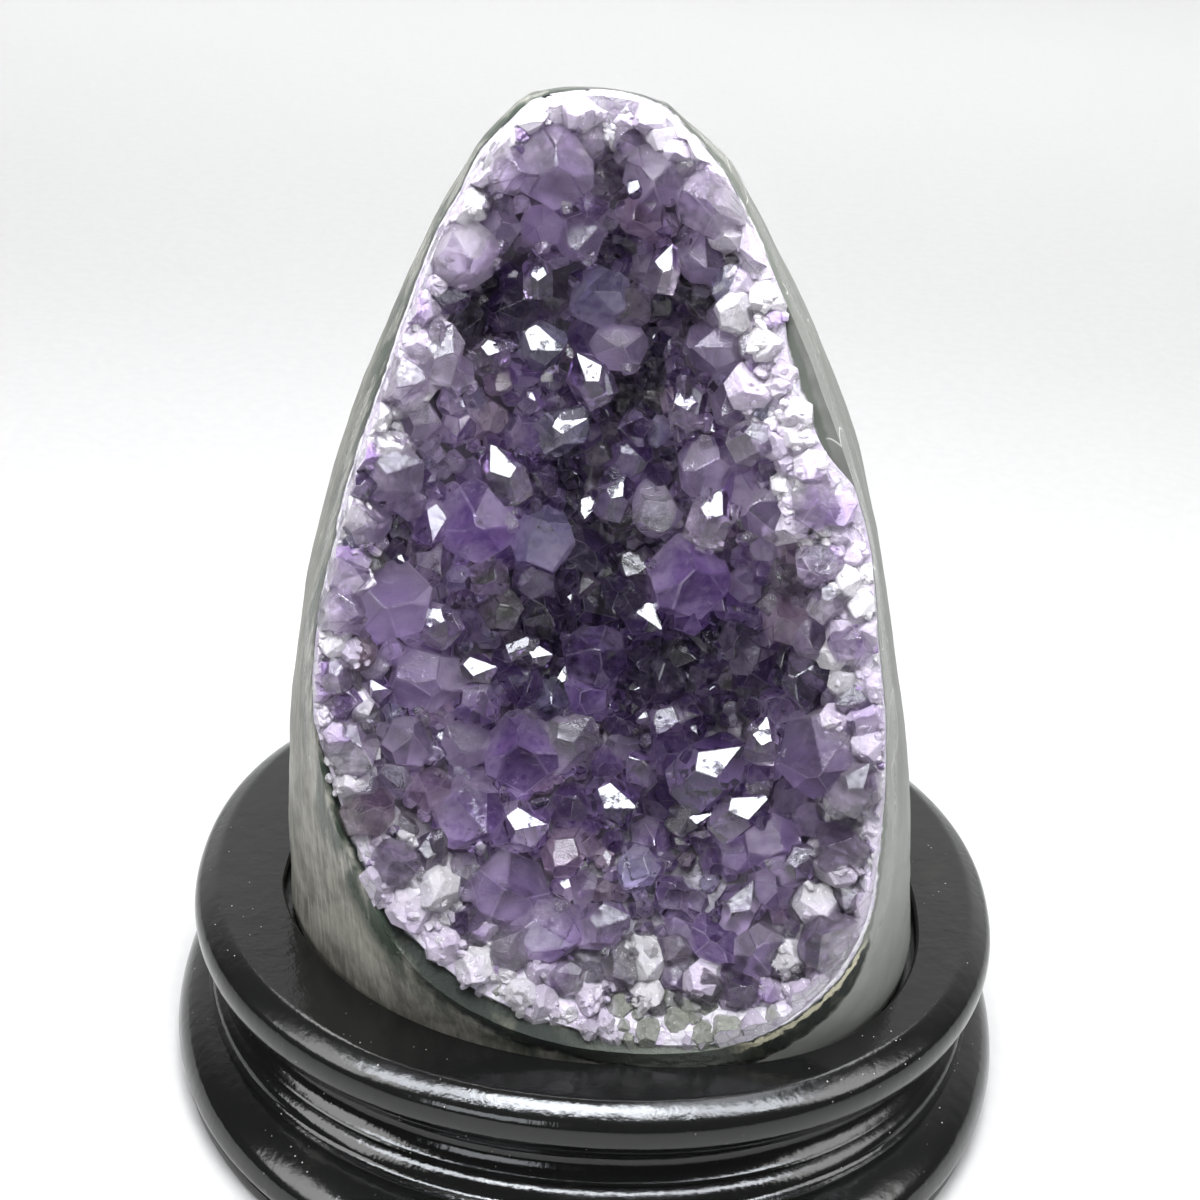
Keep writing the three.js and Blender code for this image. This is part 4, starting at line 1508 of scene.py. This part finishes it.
    def large(self, dice: Random) -> list[Crystal]:
        """The large crystals, each in its own place.

        Args:
            dice: Source of the small differences between them.

        Returns:
            The crystals.
        """
        placed = []
        for u, w, radius, tone in self.heads:
            share = self.hollow.polar(u, w)[1]
            axis = self.hollow.bed_normal(u, w) * 0.6
            axis += Vector((dice.gauss(0, 0.3), dice.gauss(0.05, 0.3), 0.5))
            placed.append(Crystal(
                u, w, self.hollow.head_height(u, w, 2.9 + 0.42 * radius),
                radius * 1.2, axis.normalized(), self.shaded(tone, share, dice),
                *self.bench.any_turn(dice), strength=dice.uniform(0.86, 1.08),
            ))  # fmt: skip
        for u, w, radius, tone, pointing in self.glints:
            share = self.hollow.polar(u, w)[1]
            way = radians(pointing)
            placed.append(Crystal(
                u, w, self.hollow.head_height(u, w, 3.7 + 0.3 * radius),
                radius, Vector((cos(way), sin(way), 0.0)), self.shaded(tone, share, dice),
                dice.uniform(-0.15, 0.15), self.bench.any_kite(dice), True, dice.uniform(0.86, 1.08),
            ))  # fmt: skip
        return placed

    def shaded(self, tone: Tone, share: float, dice: Random) -> Tone:
        """Keeps a tone, or picks a darker or paler one by how near the rim it is.

        Args:
            tone: The tone given.
            share: How near the rim the crystal is.
            dice: Source of the choice.

        Returns:
            The tone to use.
        """
        if tone is Tone.VIOLET and share < 0.5 and dice.random() < 0.5:
            return Tone.DEEP
        if tone is Tone.VIOLET and share > 0.68 and dice.random() < smoothstep(share, 0.5, 0.85):
            return Tone.PALE
        return tone

    def satellites(self, dice: Random, parents: list[Crystal]) -> list[Crystal]:
        """Small crystals grown on the flanks of the large ones.

        Args:
            dice: Source of their places and sizes.
            parents: The large crystals.

        Returns:
            The new crystals.
        """
        found = []
        for parent in parents:
            for _ in range(dice.choice((1, 2, 2, 3, 4))):
                angle = dice.uniform(0, 2 * pi)
                side = Vector((cos(angle), sin(angle), 0.0))
                away = parent.radius * dice.uniform(0.72, 1.02)
                radius = dice.uniform(0.8, 1.8)
                tone = dice.choice((parent.tone, parent.tone, parent.tone, Tone.GLASS, Tone.PALE, Tone.DEEP))
                found.append(Crystal(
                    parent.u + side.x * away, parent.w + side.y * away,
                    parent.h + parent.radius * dice.uniform(-0.35, 0.15),
                    radius, (parent.axis + side * dice.uniform(0.1, 0.9)).normalized(), tone,
                    *self.bench.any_turn(dice), strength=parent.strength * dice.uniform(0.8, 1.05),
                ))  # fmt: skip
        return found

    def infill(self, dice: Random, placed: list[Crystal]) -> list[Crystal]:
        """Smaller crystals in the places between the large ones.

        Args:
            dice: Source of their places and sizes.
            placed: The crystals that already stand.

        Returns:
            The new crystals.
        """
        hollow, found = self.hollow, []
        for small, large, tries in self.passes:
            for _ in range(tries):
                angle = dice.uniform(0, 2 * pi)
                limit = hollow.radius(angle) - hollow.around(hollow.white_inside, angle) + 1.2
                reach = sqrt(dice.random()) * limit
                share = reach / hollow.radius(angle)
                u, w = hollow.spot(angle, reach)
                radius = dice.uniform(small, large)
                if any(other.crowds(u, w, radius) for other in placed + found):
                    continue
                glint = dice.random() < 0.035
                # Painted shade: crystals in the dark nests and the middle get darker tones and are made
                # darker.
                dark = self.darkness(u, w, share)
                axis = hollow.bed_normal(u, w) * 0.8
                axis += Vector((dice.gauss(0, 0.42), dice.gauss(0.6 if glint else 0.05, 0.42), 0.35))
                found.append(Crystal(
                    u, w, hollow.bed(share) + radius * dice.uniform(0.35, 1.0) + (1.0 if glint else 0.3),
                    radius * 1.15, axis.normalized(), self.random_tone(share, dark, dice),
                    dice.uniform(-0.9, 0.9) if glint else dice.uniform(0, pi / 3),
                    self.bench.any_kite(dice) if glint else self.bench.any_habit(dice),
                    glint, dice.uniform(0.62, 1.05) * (1 - 0.35 * dark),
                ))  # fmt: skip
        return found

    def darkness(self, u: float, w: float, share: float) -> float:
        """How much painted shade a spot gets.

        Args:
            u: Place across the face.
            w: Place up the face.
            share: How near the rim it is.

        Returns:
            1 in a dark nest, a little in the middle, 0 at the rim.
        """
        near = min(hypot(u - x, w - y) / size for x, y, size in self.nests)
        middle = smoothstep(share, 0.75, 0.3) * 0.85 * smoothstep(w, 35, 60) * smoothstep(w, 106, 90)
        return max(smoothstep(near, 1.35, 0.8), middle)

    @staticmethod
    def random_tone(share: float, dark: float, dice: Random) -> Tone:
        """Picks a tone for a small crystal by where it grows.

        Args:
            share: How near the rim it is.
            dark: How much painted shade its place gets.
            dice: Source of the choice.

        Returns:
            The tone.
        """
        # Painted shade: in the darkest places, near-black and deep tones stand in for shade.
        if dark > 0.8:
            return dice.choice((Tone.NIGHT, Tone.NIGHT, Tone.NIGHT, Tone.DEEP, Tone.SMOKE))
        roll = dice.random()
        for tone, limit in ((Tone.SMOKE, 0.05), (Tone.ROSE, 0.12), (Tone.STEEL, 0.18), (Tone.GLASS, 0.23)):
            if roll < limit:
                return tone
        if dice.random() < dark:
            return Tone.DEEP
        if share > 0.78 and dice.random() < 0.35:
            return Tone.WHITE
        return Tone.PALE if dice.random() < smoothstep(share, 0.5, 0.85) * 0.8 else Tone.VIOLET

    def bed(self) -> Object:
        """The quartz layer on the hollow's wall, thinning out where it passes under the rim."""
        hollow = self.hollow
        count = 120
        under = [(s, 0.0, hollow.wall(s) + 0.4) for s in (1e-4, 0.25, 0.45, 0.62, 0.76, 0.87, 0.95)]
        under.append((1.0, -0.5, 0.0))
        over = [(1.0, -0.6, 0.3), (1.0, -1.8, -0.6), (1.0, -3.5, -1.6)]
        over += [(s, 0.0, hollow.bed(s)) for s in (0.88, 0.8, 0.74, 0.65, 0.55, 0.42, 0.28, 0.14, 1e-4)]
        rings = [hollow.ring(*station, count) for station in (*under, over[0])]
        rings += [hollow.ring(*station, count, 0.9) for station in over[1:]]
        piece = loft("amethyst_druse", rings)
        mesh = piece.data
        blank_marks(mesh)
        # Painted shade for the bed: from the dark nests and the middle, and on its front between the
        # crystals.
        shade = mesh.attributes.new("shade", "FLOAT", "CORNER")
        back = hollow.placed().inverted()
        for loop, mark in zip(mesh.loops, shade.data):
            spot = back @ (mesh.vertices[loop.vertex_index].co / MM)
            share = hollow.polar(spot.x, spot.y)[1]
            # Painted shade on the bed's front, which shows in the gaps between crystals.
            ahead = spot.z > hollow.wall(share) + 1.2
            mark.value = max(self.darkness(spot.x, spot.y, share), 0.75 if ahead else 0.0)
        return piece

    def dress(self, piece: Object) -> None:
        """Colours the crystals and the bed, and puts them in the place of their CAD node.

        Args:
            piece: The finished druse.
        """
        mesh = piece.data
        grown = mesh.attributes["grown"].data
        slots = [0 if grown[face.index].value else 1 for face in mesh.polygons]
        mesh.materials.clear()
        mesh.materials.append(AmethystFinish().make())
        mesh.materials.append(BedFinish().make())
        mesh.polygons.foreach_set("material_index", slots)
        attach(piece, BODY)
        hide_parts("crystal_druse")


@dataclass
class WhiteRim:
    """The white quartz round the mouth of the hollow: a frosted ring and its crust of crystals.

    Attributes:
        hollow: The hollow that it rings.
        stone: The stone, which trims it flush.
        bench: Where its crystals are modelled.
        foot: Height up the face below which its crystals are columns of clear greenish quartz.
        frosted: The frosted crystals that stand among the amethysts.
        tones: What its smaller crystals' tones are picked from.
        foot_tones: The same, for its foot.
        lumps: Its largest crystals: across, up and radius.
        passes: How the rest is filled in: least and largest radius, and how many spots are tried.
        grains: How many tiny crystals lie scattered over all of them.
        seed: Start of the random numbers.
    """

    hollow: Hollow
    stone: Stone
    bench: CrystalBench
    foot: float = 10.0
    frosted: list[Crystal] = field(default_factory=list)
    tones: tuple[Tone, ...] = (Tone.WHITE, Tone.WHITE, Tone.PALE, Tone.LILAC, Tone.WHITE, Tone.VIOLET)
    foot_tones: tuple[Tone, ...] = (Tone.GREEN, Tone.GREEN, Tone.GREEN, Tone.WHITE, Tone.LILAC)
    lumps: tuple[Triple, ...] = (
        (-17.1, 142.4, 2.7), (-9.9, 143.6, 3.2), (-14.0, 143.6, 2.2), (-0.6, 143.0, 2.5), (1.8, 140.9, 2.3),
        (4.6, 138.5, 2.5), (-26.6, 128.4, 2.9), (-24.4, 134.2, 2.5), (12.2, 127.1, 2.6), (15.0, 121.0, 2.6),
        (14.9, 116.4, 3.0), (17.7, 104.9, 3.6), (19.7, 111.5, 2.6), (22.0, 97.6, 2.9), (24.6, 101.5, 2.4),
        (27.4, 93.4, 2.5), (-35.2, 104.7, 2.7), (-32.4, 107.4, 2.5), (-37.2, 97.0, 2.2), (-28.4, 20.6, 3.2),
        (-24.8, 24.0, 3.6), (-33.6, 25.6, 2.8), (-18.0, 12.6, 2.9), (-22.6, 16.4, 2.8), (-10.7, 9.8, 2.5),
        (0.3, 8.6, 2.5), (9.5, 9.6, 2.5), (17.0, 12.5, 2.9), (34.6, 25.8, 3.4), (38.2, 32.4, 3.0),
        (37.0, 43.3, 3.2), (35.0, 55.6, 2.9), (30.6, 17.5, 2.9), (-39.6, 60.5, 2.3), (-38.6, 52.4, 2.3),
    )  # fmt: skip
    passes: tuple[tuple[float, float, int], ...] = ((2.3, 3.4, 420), (1.4, 2.3, 1800), (0.8, 1.4, 5200))
    grains: int = 1500
    seed: int = 23

    def height(self, beyond: float) -> float:
        """Height of its surface above the face, at a distance beyond the rim."""
        return self.hollow.flank_height(beyond) + 0.5 - 2.6 * smoothstep(beyond, -1.0, -7.5)

    def build(self) -> Object:
        """Models the ring and its crystals, joins them and trims them to the stone.

        Returns:
            The finished object.
        """
        crystals = [*self.crust(Random(self.seed)), *self.frosted]
        LOG.info("rim: %d crystals", len(crystals))
        piece = self.ring()
        apply_boolean(piece, "UNION", self.bench.grow(crystals, "crust"))
        self.bench.trim(piece, self.stone, Tone.CUT)
        return piece

    def crust(self, dice: Random) -> list[Crystal]:
        """The white crystals of the rim, largest at the top.

        Args:
            dice: Source of their places and sizes.

        Returns:
            The crystals.
        """
        hollow, found = self.hollow, []
        for number, (u, w, radius) in enumerate(self.lumps):
            angle, share = hollow.polar(u, w)
            beyond = (share - 1.0) * hollow.radius(angle)
            height = hollow.head_height(u, w, 2.9 + 0.42 * radius)
            axis = Vector((dice.gauss(0, 0.35), dice.gauss(0.1, 0.35), 1.0)).normalized()
            found.append(Crystal(
                u, w, min(height, self.height(beyond) + 0.45 * radius), 1.15 * radius, axis,
                (Tone.WHITE, Tone.LILAC, Tone.WHITE, Tone.PALE)[number % 4],
                *self.bench.any_turn(dice),
            ))  # fmt: skip
        for small, large, tries in self.passes:
            for _ in range(tries):
                angle = dice.uniform(0, 2 * pi)
                top = smoothstep(sin(angle), 0.75, 0.95)
                radius = dice.uniform(small, large) * (1 + 0.45 * top)
                far = 0.8 * hollow.around(hollow.white_beyond, angle) - 0.5 * radius - 0.1
                beyond = dice.uniform(-hollow.around(hollow.white_inside, angle), far)
                u, w = hollow.spot(angle, hollow.radius(angle) + beyond)
                if any(other.crowds(u, w, radius) for other in found):
                    continue
                inwards = Vector((-cos(angle), -sin(angle), 0.0))
                if w < self.foot:
                    tone = dice.choice(self.foot_tones)
                    axis = inwards + Vector((dice.gauss(0, 0.2), dice.gauss(0, 0.2), 0.7))
                else:
                    tone = dice.choice(self.tones)
                    axis = inwards * 0.15 + Vector((dice.gauss(0, 0.4), dice.gauss(0, 0.4), 1.0))
                found.append(Crystal(
                    u, w, self.height(beyond) + dice.uniform(-0.8, 0.5) + 0.15 * radius, radius,
                    axis.normalized(), tone, *self.bench.any_turn(dice), strength=dice.uniform(0.9, 1.05),
                ))  # fmt: skip
        return found + self.sugar(found, dice)

    def sugar(self, lumps: list[Crystal], dice: Random) -> list[Crystal]:
        """Tiny crystals scattered over the larger ones, which break up their outlines.

        Args:
            lumps: The larger crystals.
            dice: Source of the places and sizes.

        Returns:
            The tiny crystals.
        """
        found = []
        hosts = [crystal for crystal in lumps if crystal.radius > 1.2 and crystal.tone is not Tone.GREEN]
        for _ in range(self.grains):
            host = dice.choice(hosts)
            radius, off, way = dice.uniform(0.4, 0.85), dice.uniform(0.1, 1.0), dice.uniform(0, 2 * pi)
            axis = host.axis + Vector((dice.gauss(0, 0.5), dice.gauss(0, 0.5), 0.0))
            found.append(Crystal(
                host.u + off * host.radius * cos(way), host.w + off * host.radius * sin(way),
                host.h + host.radius * (0.62 - 0.6 * off * off) - 0.3 * radius, radius,
                axis.normalized(), host.tone, *self.bench.any_turn(dice),
                strength=dice.uniform(0.95, 1.05),
            ))  # fmt: skip
        return found

    def ring(self) -> Object:
        """The solid ring under the crust: a closed band round the mouth."""
        hollow = self.hollow
        placed = hollow.placed()
        rings: list[list[tuple]] = [[] for _ in range(8)]
        for angle in turns(240):
            far = hollow.around(hollow.white_beyond, angle)
            near = hollow.around(hollow.white_inside, angle) - 0.8
            rough = 0.35 * noise(Vector((20 * cos(angle), 20 * sin(angle), 0)))
            section = (
                (far, hollow.flank_height(far) - 0.15), (far, hollow.flank_height(far) + 0.45),
                (0.5 * far, hollow.flank_height(0.5 * far) + 0.9 + 0.5 * rough), (-2.0, 0.9 - rough),
                (-near, self.height(-near) - 0.3), (-near + 0.4, self.height(-near) - 2.0),
                (-2.4, -2.2), (-0.6, -0.9),
            )  # fmt: skip
            for ring, (beyond, height) in zip(rings, section):
                spot = hollow.spot(angle, hollow.radius(angle) + beyond)
                lump = 0.22 * noise(Vector((*spot, 7.0)) * 0.9) if -6.0 < beyond < far - 0.1 else 0.0
                ring.append(tuple(placed @ Vector((*spot, height + lump))))
        piece = loft("white_quartz_rim", rings, joined=True)
        blank_marks(piece.data)
        return piece

    def dress(self, piece: Object) -> None:
        """Colours the white quartz and puts it in the place of its CAD node.

        Args:
            piece: The finished ring.
        """
        piece.data.materials.clear()
        piece.data.materials.append(FrostedFinish().make())
        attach(piece, BODY)
        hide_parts("crystal_druse")


# --- Studio ---


class Reach(Enum):
    """What a light does: everything, only shows in gloss, or only lights without showing."""

    ALL = "all"
    GLOSS = "gloss"
    FILL = "fill"


@dataclass(frozen=True)
class Lamp:
    """One soft light.

    Attributes:
        name: Its name.
        place: Where it hangs, in metres.
        target: What it points at.
        size: Its width and height.
        power: Its power in watts.
        colour: Its colour.
        reach: What it does.
    """

    name: str
    place: Triple
    target: Triple
    size: tuple[float, float]
    power: float
    colour: Triple = (1.0, 1.0, 1.0)
    reach: Reach = Reach.ALL

    def hang(self) -> None:
        """Adds the light to the scene."""
        data = bpy.data.lights.new(self.name, "AREA")
        data.shape = "RECTANGLE"
        data.size, data.size_y = self.size
        data.energy = self.power
        data.color = self.colour
        lamp = bpy.data.objects.new(self.name, data)
        bpy.context.scene.collection.objects.link(lamp)
        lamp.location = self.place
        lamp.rotation_euler = (Vector(self.target) - Vector(self.place)).to_track_quat("-Z", "Y").to_euler()
        lamp.visible_diffuse = lamp.visible_transmission = self.reach is not Reach.GLOSS
        lamp.visible_glossy = self.reach is not Reach.FILL


@dataclass
class Studio:
    """Pale floor, pale surroundings, soft lights and the camera.

    Attributes:
        eye: The camera's place, in metres.
        elevation: How far down it looks, in degrees.
        roll: How far it is turned about its own axis, in degrees.
        view_angle: Its angle of view, in degrees.
        sky_light: Strength of the even light all round.
        room_light: What gloss mirrors from the dim side of the room.
        wall_light: What gloss mirrors from the pale wall behind the object.
        backdrop: How bright the surroundings are to the camera itself.
        lamps: The lights.
    """

    eye: Triple = (-0.0026, -0.3022, 0.2530)
    elevation: float = 29.0
    roll: float = 4.0
    view_angle: float = 32.0
    sky_light: float = 0.28
    room_light: float = 0.12
    wall_light: float = 1.3
    backdrop: float = 0.97
    lamps: tuple[Lamp, ...] = (
        Lamp("overhead_softbox", (0.0, -0.31, 1.06), (0.0, 0.0, 0.11), (0.46, 0.27), 4.9, COOL_LIGHT),
        Lamp("side_cards", (0.0, -0.32, 1.09), (0.0, 0.0, 0.11), (1.5, 0.2), 17.0, COOL_LIGHT, Reach.GLOSS),
        Lamp("left_panel", (-1.0, -0.4, 0.95), (0.0, 0.0, 0.1), (0.7, 0.7), 9.0),
        Lamp("right_panel", (1.0, -0.25, 0.9), (0.0, 0.0, 0.1), (0.6, 0.6), 7.0),
        Lamp("top_fill", (0.0, -0.06, 0.4), (0.0, -0.01, 0.17), (0.2, 0.2), 1.4, reach=Reach.FILL),
        Lamp("front_fill", (0.0, -0.42, 1.05), (0.0, 0.0, 0.12), (0.6, 0.4), 8.8, reach=Reach.FILL),
        Lamp("front_card", (-0.35, -1.0, 0.45), (0.0, 0.0, 0.11), (0.45, 0.4), 2.6, COOL_LIGHT, Reach.GLOSS),
        Lamp("high_card", (0.35, 0.0, 1.2), (0.0, 0.0, 0.11), (0.4, 0.4), 2.4, COOL_LIGHT, Reach.GLOSS),
        Lamp("ceiling_panel", (0.0, 2.0, 3.4), (0.0, 2.4, 0.0), (3.0, 1.6), 106.0),
    )

    def camera(self) -> None:
        """Makes the camera."""
        data = bpy.data.cameras.new("camera")
        data.sensor_width = 36.0
        data.lens = 18.0 / tan(radians(self.view_angle / 2))
        data.clip_start, data.clip_end = 0.01, 50.0
        camera = bpy.data.objects.new("camera", data)
        bpy.context.scene.collection.objects.link(camera)
        low, turn = radians(self.elevation), radians(self.roll)
        back = Vector((0.0, -cos(low), sin(low)))
        right, up = Vector((1.0, 0.0, 0.0)), Vector((0.0, sin(low), cos(low)))
        rolled = (
            right * cos(turn) + up * sin(turn),
            up * cos(turn) - right * sin(turn),
            back,
        )
        camera.matrix_world = Matrix.Translation(self.eye) @ Matrix(rolled).transposed().to_4x4()
        bpy.context.scene.camera = camera

    def floor(self) -> None:
        """Lays a wide sheet of white paper under the stand."""
        deselect_all()
        bpy.ops.mesh.primitive_plane_add(size=12.0, location=(0, 0, 0))
        sheet = bpy.context.object
        sheet.name = "floor"
        sheet.data.materials.append(PaperFinish().make())

    def surroundings(self) -> None:
        """Even pale light for the object, and a dim room behind the camera for its gloss."""
        world = bpy.data.worlds.new("studio")
        bpy.context.scene.world = world
        world.use_nodes = True
        tree = world.node_tree
        tree.nodes.clear()
        add = partial(add_node, tree)
        split = add("SeparateXYZ", add("TexCoord").outputs["Generated"])
        shares = []
        for axis, low, high in (("Y", 0.25, 0.8), ("Z", 0.85, 0.55)):
            spread = add("MapRange", split.outputs[axis], low, high, interpolation_type="SMOOTHSTEP")
            shares.append(spread.outputs["Result"])
        wall = add("Math", *shares, operation="MULTIPLY").outputs["Value"]
        room = (self.wall_light - self.room_light, self.room_light)
        gloss = add("Math", wall, *room, operation="MULTIPLY_ADD").outputs["Value"]
        rays = add("LightPath")
        last = add("Background", Strength=gloss).outputs["Background"]
        for ray, strength in (
            ("Is Diffuse Ray", self.sky_light),
            ("Is Transmission Ray", self.sky_light),
            ("Is Camera Ray", self.backdrop),
        ):
            light = add("Background", Strength=strength).outputs["Background"]
            last = add("MixShader", rays.outputs[ray], last, light).outputs["Shader"]
        add("OutputWorld", last)

    def picture(self) -> None:
        """Plain tones and enough bounces for light to get through the crystals."""
        view, cycles = bpy.context.scene.view_settings, bpy.context.scene.cycles
        view.view_transform, view.look = "Standard", "None"
        cycles.use_denoising = True
        cycles.adaptive_threshold = 0.1
        cycles.max_bounces = 8
        cycles.diffuse_bounces = cycles.glossy_bounces = 3
        cycles.transmission_bounces = 6
        cycles.volume_bounces = 0
        cycles.sample_clamp_indirect = 6.0

    def build(self) -> None:
        """Sets up the camera, the floor, the surroundings, the lamps and the picture."""
        self.camera()
        self.floor()
        self.surroundings()
        for lamp in self.lamps:
            lamp.hang()
        self.picture()


# --- Assembly ---


def report(piece: Object) -> None:
    """Writes one line on a finished piece to the log.

    Args:
        piece: The piece.
    """
    piece.data.calc_loop_triangles()
    size = ", ".join(f"{side / MM:.1f}" for side in piece.dimensions)
    LOG.info("%s: %d triangles, %s mm", piece.name, len(piece.data.loop_triangles), size)


def main() -> None:
    """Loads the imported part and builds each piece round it."""
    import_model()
    Studio().build()
    outline, hollow = StoneOutline(), Hollow()
    stand = Stand(outline)
    stone = Stone(outline, hollow)
    bench = CrystalBench(hollow)
    bench.open()
    druse = Druse(hollow, stone, bench)
    rim = WhiteRim(hollow, stone, bench, frosted=druse.frosted)
    for part in (stand, stone, druse, rim):
        piece = part.build()
        part.dress(piece)
        report(piece)
    bench.close()
    bpy.context.view_layer.update()
    LOG.info("sizes written")


if __name__ == "__main__":
    logging.basicConfig(level=logging.INFO, format="%(name)s %(message)s")
    main()
